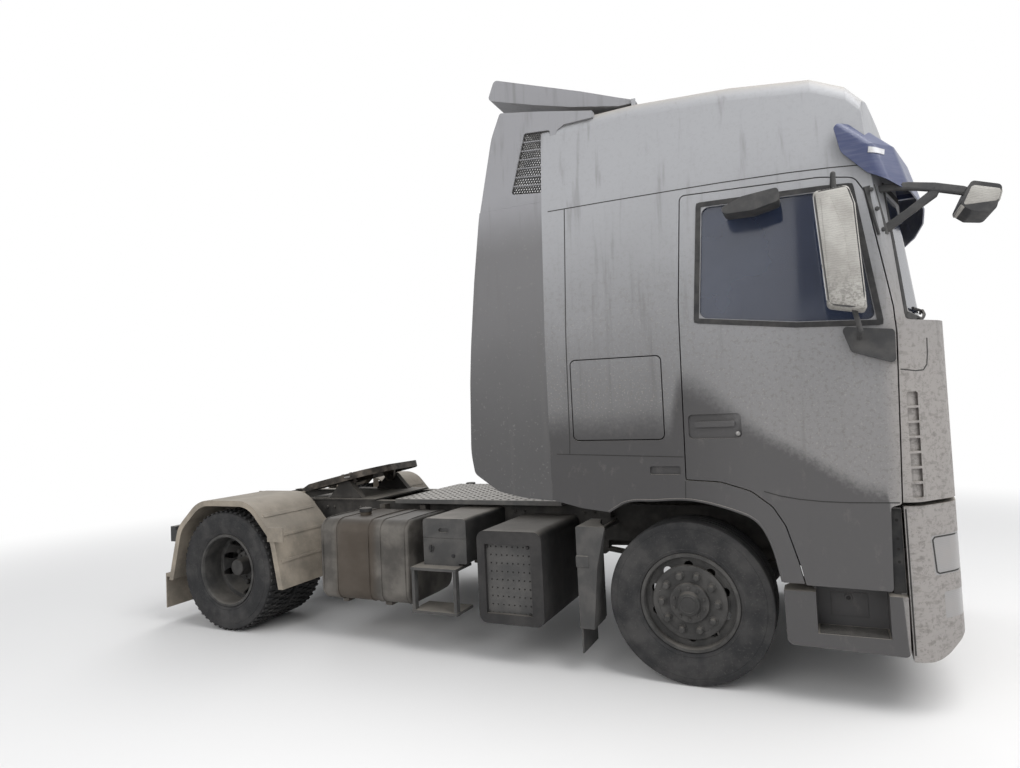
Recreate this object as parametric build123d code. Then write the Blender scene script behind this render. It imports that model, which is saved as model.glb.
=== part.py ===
from build123d import *
import os
from math import atan, cos, degrees, hypot, radians, sin

# Tractor unit of a semi truck: two axles, high-roof sleeper cab over the engine, parked.
# Millimetres, +X forward, +Y to the truck's left, +Z up. While the truck is modelled, x = 0 is
# the front axle and z = 0 the floor. node() then moves the origin under the truck's middle.

# Stance
WHEELBASE = 3800
REAR_REACH = 773
FRONT_REACH = 1709
REAR_X = -WHEELBASE
FRONT_AXLE_X = (WHEELBASE + REAR_REACH - FRONT_REACH) / 2
TYRE_D = 1000
TYRE_W = 305
TYRE_SHOULDER_R = 30
BEAD_STEP = 26
AXLE_Z = TYRE_D / 2
FRONT_TRACK_Y = 1030
TWIN_OUTER_Y = 1088
TWIN_GAP = 36
TWIN_INNER_Y = TWIN_OUTER_Y - TYRE_W - TWIN_GAP

# Seating and running gaps
SEAT = 0.3
PANEL_GAP = 7
MOVING_GAP = 8
PIN_PLAY = 0.05

# Wheels
RIM_D = 572
RIM_FLANGE_D = 600
RIM_FLANGE_T = 14
RIM_WALL = 9
DISC_R = 247
DISC_T = 12
HAND_HOLES = 10
HAND_HOLE_D = 58
HAND_HOLE_R = 218
NUTS = 10
NUT_PCD = 335
NUT_D = 34
NUT_H = 34
HUB_R = 121
HUB_CAP_R = 66
FRONT_HUB_L = 58
REAR_HUB_L = 190
FRONT_DISC = (-92, -122)
REAR_DISC_OUT = 45

# Chassis rails
RAIL_Y = 430
RAIL_H = 270
RAIL_FLANGE = 80
RAIL_T = 8
RAIL_TOP_Z = 985
RAIL_LOW_Z = RAIL_TOP_Z - RAIL_H
RAIL_FRONT_X = 1130
RAIL_REAR_X = REAR_X - 680
RAIL_MID_Y = RAIL_Y - RAIL_FLANGE / 2
RAIL_WEB_Y = RAIL_Y - RAIL_T - SEAT
HITCH_X_SPACING = 160
HITCH_Z_SPACING = 100
HITCH_HOLE_R = 10.5
HITCH_MID_Z = 850
HITCH_RECESS = 3
HITCH_PLATE_H = 250
HITCH_PLATE_T = 12

# Axles, knuckles and springs
KINGPIN_Y = 840
KINGPIN_R = 24
WHEEL_SWEEP_R = hypot(TYRE_D / 2, FRONT_TRACK_Y + TYRE_W / 2 - KINGPIN_Y) + MOVING_GAP
EYE_R = 52
EYE_H = 130
JAW_T = 48
KNUCKLE_HALF = 50
BRAKE_R = 212
SPINDLE_R = 46
BEAM_DROP = 120
BEAM_T = 90
BEAM_H = 100
STEER_ARM = 250
STEER_ARM_T = 30
ROD_END_R = 12
TRACK_ROD_R = 20
AXLE_TUBE_R = 66
DRUM_R = 205
DIFF_R = 215
DIFF_W = 300
LEAF_W = 84
LEAF_T = 22
LEAF_X = 750
LEAF_LOW_Z = 548
LEAF_RISE = 68
LEAF_END_TOP = LEAF_LOW_Z + LEAF_RISE + 2 * LEAF_T + SEAT
LEAF_LOW_X = 620
LEAF_EYE_R = 24
ARM_PIVOT_X = REAR_X + 715
ARM_PIVOT_HALF = 45
ARM_TOP_Z = 600
ARM_T = 30
BELLOWS_X = REAR_X - 440
BELLOWS_R = 138

# Drive line
GEARBOX_X = (-1130, -450)
SHAFT_FRONT = (-1130, 0, 720)
SHAFT_REAR = (REAR_X + 330, 0, 560)
SHAFT_R = 52
DIFF_NOSE_R = 95

# Cab
CAB_W = 2500
HALF_W = CAB_W / 2
CAB_REAR_X = -830
CAB_FLOOR_Z = 1160
CAB_CAP_Z = 3050
SHOULDER_Z = 2110
WALL = 42
CAP_WALL = 30
ROOF_EDGE_R = 150
DOOR_T = 66
TUNNEL_Y = 450
TUNNEL_H = 290
FIREWALL_X = 1270
FLOOR_T = 30
RECESS = 16
SCREEN_RAKE = 0.115
TILT_X = 1400
TILT_Z = 1040
TILT_PIN_R = 22
TILT_ARM_Y = 480
TILT_ARM_T = 34
TILT_EYE_R = 32
BUFFER_X = -700
BUFFER_Y = 535

# Glass and lids
GLASS_T = 8
GLASS_INSET = 14
LID_Y = HALF_W - 370
LID_LOW_Z = 1235
LID_HIGH_Z = 2075
LID_T = 40
LID_SLOTS = 5
LID_SLOT_H = 62
LID_SLOT_PITCH = 122
LOCKER_T = 34
LOUVRES = 7
LOUVRE_T = 12

# Steps, bumper
STEP_TOP_Z = 634
STEP_OUT_Y = HALF_W - 15
STEP_IN_Y = 880
BUMPER_T = 26
BUMPER_Y = HALF_W - 22
BUMPER_TOP_Z = 1115
BUMPER_BACK_X = 1168
GRILLE_HALF = 590
GRILLE_Z = (475, 665)

# Boxes and tanks along the sides, each as its rear and front share of the wheelbase
SILENCER_SPAN = (0.3753, 0.2479)
SERVICE_SPAN = (0.5084, 0.4137)
BATTERY_SPAN = (0.5084, 0.3763)
TANK_SPAN = (0.7526, 0.5368)
CATWALK_SPAN = (0.6687, 0.2718)
STRAP_SHARES = (0.7163, 0.6079)
TANK_CAP_SHARE = 0.6832
CATWALK_BAR_SHARES = (0.6053, 0.4474, 0.3289)
TANK_Y = (500, 1150)
TANK_Z = (315, 940)
TANK_R = 95
TANK_END_R = 22
TANK_CAP_R = 46
STRAP_W = 56
STRAP_T = 5
BOX_Y = 1100
BOX_Z = (637, 960)
SILENCER_Y = 1214
SILENCER_Z = (276, 905)
BATTERY_Y = 1150
BATTERY_Z = (560, 960)
AIR_TANK_R = 120
AIR_TANK_Z = 420

# Rear mudguards and lamps
GUARD_OUT_Y = TWIN_OUTER_Y + 162
GUARD_IN_Y = 568
GUARD_T = 10
GUARD_LIP = 46
GUARD_LOW_Z = 340
FLAP_BACK_X = REAR_X - REAR_REACH
REAR_FLAP_T = 11
LAMP_X = (REAR_X - 760, REAR_X - 698)
LAMP_Z = (700, 834)
LAMP_Y = (800, 1150)

# Fifth wheel
FIFTH_X = REAR_X + 600
FIFTH_PIVOT_Z = 1120
FIFTH_TILT = 12
FIFTH_T = 34
FIFTH_LOCK_T = 40
FIFTH_RISE = 90
FIFTH_STAND_RISE = 34
FIFTH_STAND_T = 60
KINGPIN_LOCK_R = 25.4
FIFTH_PIVOT_R = 24
FIFTH_EAR_Y = 300
FIFTH_EAR_T = 30

# Seats
SEAT_Y = 605
SEAT_Z = 1490

# Steering wheel
STEER_X = 760
STEER_Y = 605
STEER_Z = 1960
STEER_RAKE = 35
STEER_R = 215
STEER_RIM_R = 15

# Roof flap and side fairings
FLAP_PIN_X = -200
FLAP_PIN_Z = CAB_CAP_Z + 674.5
FLAP_PIN_R = 6
FLAP_EYE_R = 11
FLAP_Y = HALF_W - 210
FAIRING_T = 30
FAIRING_BARS = 6

# Sun visor
VISOR_T = 8
VISOR_Y = HALF_W - 14
VISOR_LOW_RAKE = 0.27
VISOR_HIGH_RAKE = 1.03
VISOR_BEND_Z = CAB_CAP_Z + 42
VISOR_LOW_Z = CAB_CAP_Z - 234
VISOR_RISE = 440
VISOR_NOTCH = 44

# Arm of the front mirror, over the screen's corner
ARM_Y = HALF_W - 120
ARM_ROOT_Z = CAB_CAP_Z - 197

NODES = {}
CAB_FORMS = {}


def outline(*corners):
    """A face whose corners are (a, b) or (a, b, rounding radius)."""
    points = [corner[:2] for corner in corners]
    radii = [corner[2] if len(corner) > 2 else 0 for corner in corners]
    return make_face(FilletPolyline(*points, radius=radii, close=True))


def both_ways(*corners):
    """An (x, y, r) outline given for positive y and repeated below it."""
    back = [(corner[0], -corner[1]) + tuple(corner[2:]) for corner in reversed(corners)]
    return outline(*corners, *back)


def both_ways_z(corners):
    """An end profile (y, z, rounding), repeated on the other side."""
    back = [(-corner[0],) + tuple(corner[1:]) for corner in reversed(corners)]
    return outline(*corners, *back)


def along_y(face, y_low, y_high):
    """Stand an (x, z) face up between two planes of y."""
    return extrude(Plane.XZ.offset(-y_high) * face, y_high - y_low)


def along_x(face, x_low, x_high):
    """Stand a (y, z) face up between two planes of x."""
    return extrude(Plane.YZ.offset(x_low) * face, x_high - x_low)


def along_z(face, z_low, z_high):
    """Stand an (x, y) face up between two planes of z."""
    return extrude(Plane.XY.offset(z_low) * face, z_high - z_low)


def block(x_low, x_high, y_low, y_high, z_low, z_high):
    size = (x_high - x_low, y_high - y_low, z_high - z_low)
    middle = ((x_low + x_high) / 2, (y_low + y_high) / 2, (z_low + z_high) / 2)
    return Pos(*middle) * Box(*size)


def rod(start, end, radius):
    start, end = Vector(*start), Vector(*end)
    plane = Plane(origin=start, z_dir=end - start)
    return extrude(plane * Circle(radius), (end - start).length)


def across(x, z, radius, y_low, y_high):
    """A round bar along Y."""
    return rod((x, y_low, z), (x, y_high, z), radius)


def other_side(solid):
    return mirror(solid, about=Plane.XZ)


def both_sides(*solids):
    return list(solids) + [other_side(solid) for solid in solids]


def back(share):
    """The place along X at a share of the wheelbase behind the front axle."""
    return -WHEELBASE * share


def node(name, *pieces):
    """Keep a node's solids, moved so that the origin is under the truck's middle."""
    solids = []
    for piece in pieces:
        solids.extend(piece.solids())
    NODES[name] = Compound([Pos(FRONT_AXLE_X, 0, 0) * solid for solid in solids])


# Wheels are turned about X with their outer face towards -X, then stood at the axle's end

def turned(*corners):
    """Turn an (axial, radius) section about the X axis."""
    return revolve(outline(*corners), Axis.X)


def ring_of(piece, count, radius, start=0):
    """Copies of a piece that stands at the X axis, set round it at a radius."""
    return [Rot(start + 360 * i / count, 0, 0) * Pos(0, 0, radius) * piece for i in range(count)]


def tyre():
    """Tread, shoulders, bulged sidewalls and beads."""
    half, bead_half = TYRE_W / 2, TYRE_W / 2 - BEAD_STEP
    crown, bead, bulge = TYRE_D / 2, RIM_D / 2 + SEAT, 0.74 * TYRE_D / 2
    return turned(
        (-half, bulge, 70), (-half + 8, crown, TYRE_SHOULDER_R),
        (half - 8, crown, TYRE_SHOULDER_R), (half, bulge, 70), (bead_half, bead + 24),
        (bead_half, bead), (-bead_half, bead), (-bead_half, bead + 24),
    )


def rim_barrel():
    """The rim's well and its two flanges, just outside the tyre's beads."""
    bead_half = TYRE_W / 2 - BEAD_STEP + SEAT
    outer = bead_half + RIM_FLANGE_T
    seat_r, flange_r, in_r = RIM_D / 2, RIM_FLANGE_D / 2, RIM_D / 2 - RIM_WALL - 4
    half = [
        (outer, seat_r - 6), (outer, flange_r, 5), (bead_half, flange_r, 3), (bead_half, seat_r),
    ]
    mirror_half = [(-corner[0],) + tuple(corner[1:]) for corner in reversed(half)]
    return turned(*half, *mirror_half, (-outer + 16, in_r), (outer - 16, in_r))


def rim(disc_out, disc_in, hub_length):
    """Rim with its disc, hand holes, nuts and hub. The disc runs from disc_out to disc_in."""
    edge_r = RIM_D / 2 - RIM_WALL - 6
    nut_r = NUT_PCD / 2
    disc = turned(
        (disc_out, edge_r + 4), (disc_out, DISC_R - 8, 10), (disc_in, nut_r + 26, 16), (disc_in, 0),
        (disc_in + DISC_T, 0), (disc_in + DISC_T, nut_r + 26, 16), (disc_out + DISC_T, DISC_R, 10),
        (disc_out + DISC_T, edge_r + 4),
    )
    hole = Rot(0, 90, 0) * Cylinder(HAND_HOLE_D / 2, abs(disc_in - disc_out) + 80)
    middle = (disc_out + disc_in + DISC_T) / 2
    for cut in ring_of(Pos(middle, 0, 0) * hole, HAND_HOLES, HAND_HOLE_R):
        disc -= cut
    whole = rim_barrel() + disc
    hub = turned(
        (disc_in + 1, 0), (disc_in + 1, HUB_R), (disc_in - hub_length * 0.45, HUB_R, 10),
        (disc_in - hub_length * 0.45, HUB_CAP_R + 8, 6), (disc_in - hub_length, HUB_CAP_R, 10),
        (disc_in - hub_length, 0),
    )
    whole += hub
    nut_face = Plane(origin=(disc_in + 1, 0, 0), z_dir=(-1, 0, 0)) * RegularPolygon(NUT_D / 2, 6)
    nut = extrude(nut_face, NUT_H)
    for one in ring_of(nut, NUTS, nut_r, start=180 / NUTS):
        whole += one
    return whole


def inner_rim():
    """The inner twin's rim: its web meets the outer one's disc between the two."""
    web_x = -(TWIN_OUTER_Y - TWIN_INNER_Y) / 2
    web = turned(
        (web_x + SEAT, 150), (web_x + SEAT, 200), (-110, 266), (-110, 274), (-98, 274), (-98, 262),
        (web_x + DISC_T, 196), (web_x + DISC_T, 150),
    )
    return rim_barrel() + web


def wheel_at(piece, x, y, sign):
    """Stand a wheel piece at an axle's end, its outer face to the right (-1) or left (1)."""
    return Pos(x, y, AXLE_Z) * Rot(0, 0, -90 * sign) * piece


def wheels():
    twin_disc = (TWIN_OUTER_Y - TWIN_INNER_Y) / 2 - DISC_T
    front_rim = rim(*FRONT_DISC, FRONT_HUB_L)
    outer_rim = rim(REAR_DISC_OUT, twin_disc, REAR_HUB_L)
    back_rim = inner_rim()
    one_tyre = tyre()
    for side, sign in (("right", -1), ("left", 1)):
        front_y, outer_y, inner_y = sign * FRONT_TRACK_Y, sign * TWIN_OUTER_Y, sign * TWIN_INNER_Y
        node(f"tyre_front_{side}", wheel_at(one_tyre, 0, front_y, sign))
        node(f"rim_front_{side}", wheel_at(front_rim, 0, front_y, sign))
        node(f"tyres_rear_{side}", wheel_at(one_tyre, REAR_X, outer_y, sign),
             wheel_at(one_tyre, REAR_X, inner_y, sign))
        node(f"rims_rear_{side}", wheel_at(outer_rim, REAR_X, outer_y, sign),
             wheel_at(back_rim, REAR_X, inner_y, sign))


# Chassis

# Cross members: middle x, length, low z, high z
CROSS_MEMBERS = (
    (FIFTH_X - 105, 80, 850, 960), (back(0.6263), 80, 850, 960),
    (back(0.3395), 80, 850, 960), (1010, 100, 740, 790),
)


def bumper_inner_x():
    return LOWER_PLAN[-1][0] - BUMPER_T


def frame():
    inner = RAIL_Y - RAIL_FLANGE
    channel = outline(
        (RAIL_Y, RAIL_LOW_Z), (RAIL_Y, RAIL_TOP_Z), (inner, RAIL_TOP_Z), (inner, RAIL_TOP_Z - RAIL_T),
        (RAIL_Y - RAIL_T, RAIL_TOP_Z - RAIL_T), (RAIL_Y - RAIL_T, RAIL_LOW_Z + RAIL_T),
        (inner, RAIL_LOW_Z + RAIL_T), (inner, RAIL_LOW_Z),
    )
    rail = along_x(channel, RAIL_REAR_X, RAIL_FRONT_X)
    horn = block(RAIL_FRONT_X - 1, bumper_inner_x() - SEAT, inner, RAIL_Y, RAIL_LOW_Z + 20, RAIL_TOP_Z - 30)
    pin = across(TILT_X, TILT_Z, TILT_PIN_R, RAIL_Y - 1, TILT_ARM_Y + TILT_ARM_T + 20)
    collar = across(TILT_X, TILT_Z, TILT_PIN_R + 20, RAIL_Y - 1, TILT_ARM_Y - MOVING_GAP)
    boss = along_y(outline((TILT_X - 35, RAIL_TOP_Z - 40), (TILT_X + 35, RAIL_TOP_Z - 40),
                           (TILT_X + 35, TILT_Z + 35, 30), (TILT_X - 35, TILT_Z + 35, 30)), inner, RAIL_Y)
    side = rail + horn + pin + collar + boss
    leaf_low, leaf_high = RAIL_MID_Y - LEAF_W / 2, RAIL_MID_Y + LEAF_W / 2
    hangers = (
        (-LEAF_X, 35, LEAF_END_TOP + SEAT), (LEAF_X, 35, LEAF_END_TOP + SEAT), (ARM_PIVOT_X, ARM_PIVOT_HALF, ARM_TOP_Z),
    )
    for x, half, z_low in hangers:
        side += block(x - half, x + half, leaf_low, leaf_high, z_low, RAIL_LOW_Z + 1)
    buffer_top = CAB_FLOOR_Z - FLOOR_T - SEAT
    buffer_post = block(BUFFER_X - 40, BUFFER_X + 40, RAIL_Y - 1, BUFFER_Y, RAIL_TOP_Z - 90, buffer_top)
    buffer_post -= block(BUFFER_X - 50, BUFFER_X + 50, RAIL_Y, BUFFER_Y - 75, RAIL_TOP_Z - 5, CAB_FLOOR_Z)
    side += buffer_post
    whole = side + other_side(side)
    for x, length, z_low, z_high in CROSS_MEMBERS:
        whole += block(x - length / 2, x + length / 2, 1 - RAIL_Y, RAIL_Y - 1, z_low, z_high)
    whole += hitch_plate()
    node("frame", whole)


def hitch_plate():
    """Rear cross member with the four holes for a coupling."""
    face = Pos(0, HITCH_MID_Z) * Rectangle(2 * RAIL_Y - 2 * RAIL_T + 2, HITCH_PLATE_H)
    for y in (-HITCH_X_SPACING / 2, HITCH_X_SPACING / 2):
        for z in (-HITCH_Z_SPACING / 2, HITCH_Z_SPACING / 2):
            face -= Pos(y, HITCH_MID_Z + z) * Circle(HITCH_HOLE_R)
    low_x = RAIL_REAR_X + HITCH_RECESS
    return along_x(face, low_x, low_x + HITCH_PLATE_T)


def front_axle():
    low, high = AXLE_Z - EYE_H / 2, AXLE_Z + EYE_H / 2
    mid_high = AXLE_Z - BEAM_DROP + BEAM_H / 2
    half = [
        (KINGPIN_Y, low), (KINGPIN_Y, high), (KINGPIN_Y - 90, high, 40), (KINGPIN_Y - 230, mid_high, 90),
    ]
    under = [(KINGPIN_Y - 260, mid_high - BEAM_H, 90), (KINGPIN_Y - 100, low, 60)]
    top_left = [(-corner[0],) + tuple(corner[1:]) for corner in reversed(half)]
    under_left = [(-corner[0],) + tuple(corner[1:]) for corner in reversed(under)]
    beam = along_x(outline(*half, *top_left, *under_left, *under), -BEAM_T / 2, BEAM_T / 2)
    for sign in (-1, 1):
        y = sign * KINGPIN_Y
        beam += rod((0, y, low), (0, y, high), EYE_R)
        beam -= rod((0, y, low - 5), (0, y, high + 5), KINGPIN_R + PIN_PLAY)
        beam += block(-110, 110, sign * RAIL_MID_Y - 50, sign * RAIL_MID_Y + 50, mid_high - 10, LEAF_LOW_Z - SEAT)
    node("front_axle", beam)


def leaf(z):
    """One long leaf, flat over the axle and rising to both eyes."""
    high = z + LEAF_RISE
    return along_y(outline(
        (-LEAF_X, high), (-LEAF_X, high + LEAF_T), (-300, z + LEAF_T, 900), (300, z + LEAF_T, 900),
        (LEAF_X, high + LEAF_T), (LEAF_X, high), (300, z, 900), (-300, z, 900),
    ), RAIL_MID_Y - LEAF_W / 2, RAIL_MID_Y + LEAF_W / 2)


def springs():
    """Front leaf springs, rear trailing arms and air bellows."""
    lower = leaf(LEAF_LOW_Z) & block(-LEAF_LOW_X, LEAF_LOW_X, 0, RAIL_TOP_Z, 0, RAIL_TOP_Z)
    upper = leaf(LEAF_LOW_Z + LEAF_T + SEAT)
    y_low, y_high = RAIL_MID_Y - LEAF_W / 2, RAIL_MID_Y + LEAF_W / 2
    for x in (-LEAF_X, LEAF_X):
        upper += across(x, LEAF_END_TOP - LEAF_EYE_R, LEAF_EYE_R, y_low, y_high)
    arm_top = AXLE_Z - AXLE_TUBE_R - SEAT
    front_x, rear_x = ARM_PIVOT_X + ARM_PIVOT_HALF, ARM_PIVOT_X - ARM_PIVOT_HALF
    top = ARM_TOP_Z - SEAT
    arm = along_y(outline(
        (front_x, top), (rear_x, top), (rear_x, top - 40), (REAR_X + 240, arm_top, 300), (REAR_X - 530, arm_top),
        (REAR_X - 530, arm_top - ARM_T), (REAR_X + 260, arm_top - ARM_T - 10, 300), (front_x - 20, top - 80),
    ), y_low, y_high)
    low, high = arm_top + SEAT, RAIL_LOW_Z - SEAT
    rise = high - low
    section = outline((0, 0), (BELLOWS_R * 0.62, 0), (BELLOWS_R * 0.62, rise * 0.3, 20), (BELLOWS_R, rise * 0.42, 40),
                      (BELLOWS_R, rise * 0.9, 30), (BELLOWS_R * 0.8, rise), (0, rise))
    bellows = Pos(BELLOWS_X, RAIL_MID_Y, low) * revolve(section, Axis.Y).rotate(Axis.X, 90)
    node("springs", *both_sides(lower, upper, arm, bellows))


def rear_axle():
    drum_in, drum_out = TWIN_INNER_Y - 140, TWIN_INNER_Y + 30
    whole = across(REAR_X, AXLE_Z, AXLE_TUBE_R, -TWIN_INNER_Y - 80, TWIN_INNER_Y + 80)
    section = outline((-DIFF_W / 2, 0), (-DIFF_W / 2, 120, 30), (-60, DIFF_R, 60), (60, DIFF_R, 60),
                      (DIFF_W / 2, 120, 30), (DIFF_W / 2, 0))
    whole += Pos(REAR_X, 0, AXLE_Z) * Rot(0, 0, 90) * revolve(section, Axis.X)
    start, end = Vector(*SHAFT_FRONT), Vector(*SHAFT_REAR)
    drop = (end.Z - start.Z) / (end.X - start.X) * (REAR_X - end.X)
    whole += rod((REAR_X, 0, end.Z + drop), SHAFT_REAR, DIFF_NOSE_R)
    for y_low, y_high in ((-drum_out, -drum_in), (drum_in, drum_out)):
        whole += across(REAR_X, AXLE_Z, DRUM_R, y_low, y_high)
    node("rear_axle", whole)


def engine():
    """The engine and radiator as plain closed masses, hung on the rails' webs."""
    sump_z, deck_z, mount_z = 560, 1120, 790
    mass = block(GEARBOX_X[1], 820, -330, 330, sump_z + 120, deck_z)
    mass += block(-420, 600, -200, 200, sump_z, sump_z + 121)
    mass += block(-430, 760, -190, 230, deck_z - 1, 1370)
    for x in (-320, 560):
        mass += block(x - 60, x + 60, -RAIL_WEB_Y, RAIL_WEB_Y, mount_z, mount_z + 60)
    radiator = block(965, 1055, -335, 335, mount_z + SEAT, 1400)
    node("engine", mass, radiator)


def drive_line():
    rear_x, front_x = GEARBOX_X[0], GEARBOX_X[1] - SEAT
    gearbox = along_y(outline(
        (front_x, 640, 20), (front_x, 1010, 20), (-700, 1010, 60), (rear_x, 860, 60), (rear_x, 620, 40),
    ), -200, 200)
    gearbox += block(-900, -800, -RAIL_WEB_Y, RAIL_WEB_Y, 760, 810)
    start, end = Vector(*SHAFT_FRONT), Vector(*SHAFT_REAR)
    along = (end - start).normalized()
    shaft = rod(start + along * 4, end - along * SEAT, SHAFT_R)
    node("drive_line", gearbox, shaft)


def fifth_wheel_base():
    """Mounting plate on the rails with two pedestals and their pins."""
    low = RAIL_TOP_Z + 13
    crest = FIFTH_PIVOT_Z + FIFTH_STAND_RISE
    pedestal = outline((FIFTH_X - 190, low), (FIFTH_X - 44, crest, 36), (FIFTH_X + 44, crest, 36), (FIFTH_X + 190, low))
    whole = block(FIFTH_X - 440, FIFTH_X + 360, -RAIL_Y - 10, RAIL_Y + 10, RAIL_TOP_Z + SEAT, RAIL_TOP_Z + 14)
    inner = FIFTH_EAR_Y + FIFTH_EAR_T + MOVING_GAP
    stand = along_y(pedestal, inner, inner + FIFTH_STAND_T)
    stand += across(FIFTH_X, FIFTH_PIVOT_Z, FIFTH_PIVOT_R, FIFTH_EAR_Y - MOVING_GAP, inner + 1)
    for one in both_sides(stand):
        whole += one
    node("fifth_wheel_base", whole)


def fifth_wheel():
    """Coupling plate with its throat and lock bore, level about its own middle, then tipped back."""
    top, under = FIFTH_RISE, FIFTH_RISE - FIFTH_T
    plan = outline(
        (400, -230, 90), (400, 230, 90), (250, 430, 110), (-200, 460, 80), (-360, 440, 60), (-510, 400, 30),
        (-510, 215, 20), (-150, 34, 40), (-150, -34, 40), (-510, -215, 20), (-510, -400, 30), (-360, -440, 60),
        (-200, -460, 80), (250, -430, 110),
    )
    plate = along_z(plan, under, top)
    plate += along_z(plan - offset(plan, -26), under - 24, under + 1)
    plate += along_z(Rectangle(190, 170), under - FIFTH_LOCK_T, top - 1)
    throat = block(-200, 0, -KINGPIN_LOCK_R * 0.62, KINGPIN_LOCK_R * 0.62, under - FIFTH_LOCK_T - 5, top + 5)
    plate -= Cylinder(KINGPIN_LOCK_R, 400) + throat
    plate -= along_y(outline((-520, top + 1), (-520, under + 6), (-380, top + 1)), -600, 600)
    ear = along_y(outline((-70, under + 1), (-40, -40, 38), (40, -40, 38), (70, under + 1)),
                  FIFTH_EAR_Y, FIFTH_EAR_Y + FIFTH_EAR_T)
    ear -= across(0, 0, FIFTH_PIVOT_R + PIN_PLAY, 0, 500)
    for one in both_sides(ear):
        plate += one
    node("fifth_wheel", Pos(FIFTH_X, 0, FIFTH_PIVOT_Z) * Rot(0, -FIFTH_TILT, 0) * plate)


def catwalk():
    rear_x, front_x = (back(share) for share in CATWALK_SPAN)
    low, high, y = RAIL_TOP_Z + SEAT, RAIL_TOP_Z + 36, 560
    deck = block(rear_x, front_x, -y, y, low, high)
    deck -= block(rear_x + 6, front_x - 6, 6 - y, y - 6, RAIL_TOP_Z - 5, high - 6)
    for share in CATWALK_BAR_SHARES:
        deck += block(back(share) - 20, back(share) + 20, 5 - y, y - 5, low, high - 5)
    node("catwalk", deck)


def fuel_tanks():
    (y_in, y_out), (z_low, z_high) = TANK_Y, TANK_Z
    section = outline((y_in, z_low, TANK_R), (y_out, z_low, TANK_R), (y_out, z_high, TANK_R), (y_in, z_high, TANK_R))
    tank = along_x(section, back(TANK_SPAN[0]), back(TANK_SPAN[1]))
    tank = fillet(tank.edges().filter_by(Plane.YZ), TANK_END_R)
    cap_x, cap_y = back(TANK_CAP_SHARE), y_out - 250
    tank += rod((cap_x, cap_y, z_high - 2), (cap_x, cap_y, z_high + 34), TANK_CAP_R)
    inside, outside = offset(section, SEAT), offset(section, SEAT + STRAP_T)
    straps = []
    for share in STRAP_SHARES:
        low, high = back(share) - STRAP_W / 2, back(share) + STRAP_W / 2
        band = along_x(outside - inside, low, high)
        band += block(low, high, RAIL_Y + SEAT, y_in - SEAT - 1, z_low - 40, RAIL_TOP_Z - 20)
        band += block(low, high, RAIL_Y + SEAT, y_out - 120, z_low - 40, z_low - SEAT - 1)
        straps.append(band)
    node("fuel_tanks", *both_sides(tank, *straps))


def service_box():
    """Box with a lid line and a finger slot, over a small open rack."""
    rear_x, front_x = (back(share) for share in SERVICE_SPAN)
    low, high = BOX_Z
    box = along_y(outline((rear_x, low, 12), (front_x, low, 12), (front_x, high, 30), (rear_x, high, 30)),
                  -BOX_Y, -RAIL_Y - SEAT)
    line_z = (low + high) / 2 + 19
    box -= block(rear_x - 5, front_x + 5, -BOX_Y - 5, 4 - BOX_Y, line_z - 3, line_z + 3)
    slot = along_y(Pos(rear_x + 175, line_z + 57) * SlotOverall(88, 30), -BOX_Y - 5, RECESS - BOX_Y)
    box -= slot
    rack_rear, rack_front, rack_y = rear_x - 57, front_x - 40, BOX_Y + 100
    for x in (rack_rear + 4, rack_front - 28):
        box += block(x, x + 24, 5 - rack_y, 50 - rack_y, 300, 620)
    for z in (292, 600):
        box += block(rack_rear, rack_front, -rack_y, -960, z, z + 20)
    box += block(rear_x, rack_front - 28, -BOX_Y, -960, 619, low + 3)
    node("service_box", box)


def silencer_box():
    rear_x, front_x = (back(share) for share in SILENCER_SPAN)
    low, high = SILENCER_Z
    box = along_y(outline((rear_x, low, 60), (front_x, low, 60), (front_x, high, 60), (rear_x, high, 60)),
                  -SILENCER_Y, -RAIL_Y - SEAT)
    box -= block(rear_x + 58, front_x - 83, -SILENCER_Y - 5, 44 - SILENCER_Y, low + 68, high - 91)
    node("silencer_box", box)


def battery_box():
    rear_x, front_x = (back(share) for share in BATTERY_SPAN)
    low, high = BATTERY_Z
    box = along_y(outline((rear_x, low, 12), (front_x, low, 12), (front_x, high, 30), (rear_x, high, 30)),
                  RAIL_Y + SEAT, BATTERY_Y)
    box -= block(rear_x - 5, front_x + 5, BATTERY_Y - 4, BATTERY_Y + 5, high - 90, high - 84)
    tanks = []
    for y in (640, 930):
        bottle = rod((rear_x + 2, y, AIR_TANK_Z), (front_x - 5, y, AIR_TANK_Z), AIR_TANK_R)
        bottle = fillet(bottle.edges().filter_by(GeomType.CIRCLE), 40)
        for x in (rear_x + 112, front_x - 130):
            bottle += block(x, x + 40, y - 60, y + 60, AIR_TANK_Z + 20, low - SEAT)
        tanks.append(bottle)
    node("battery_box", box, *tanks)


def guard_profile():
    return outline(
        (REAR_X + 640, GUARD_LOW_Z), (REAR_X + 550, 800, 260), (REAR_X + 295, 1085, 270), (REAR_X - 285, 1085, 300),
        (REAR_X - 545, 850, 260), (REAR_X - 682, GUARD_LOW_Z),
    )


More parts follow.
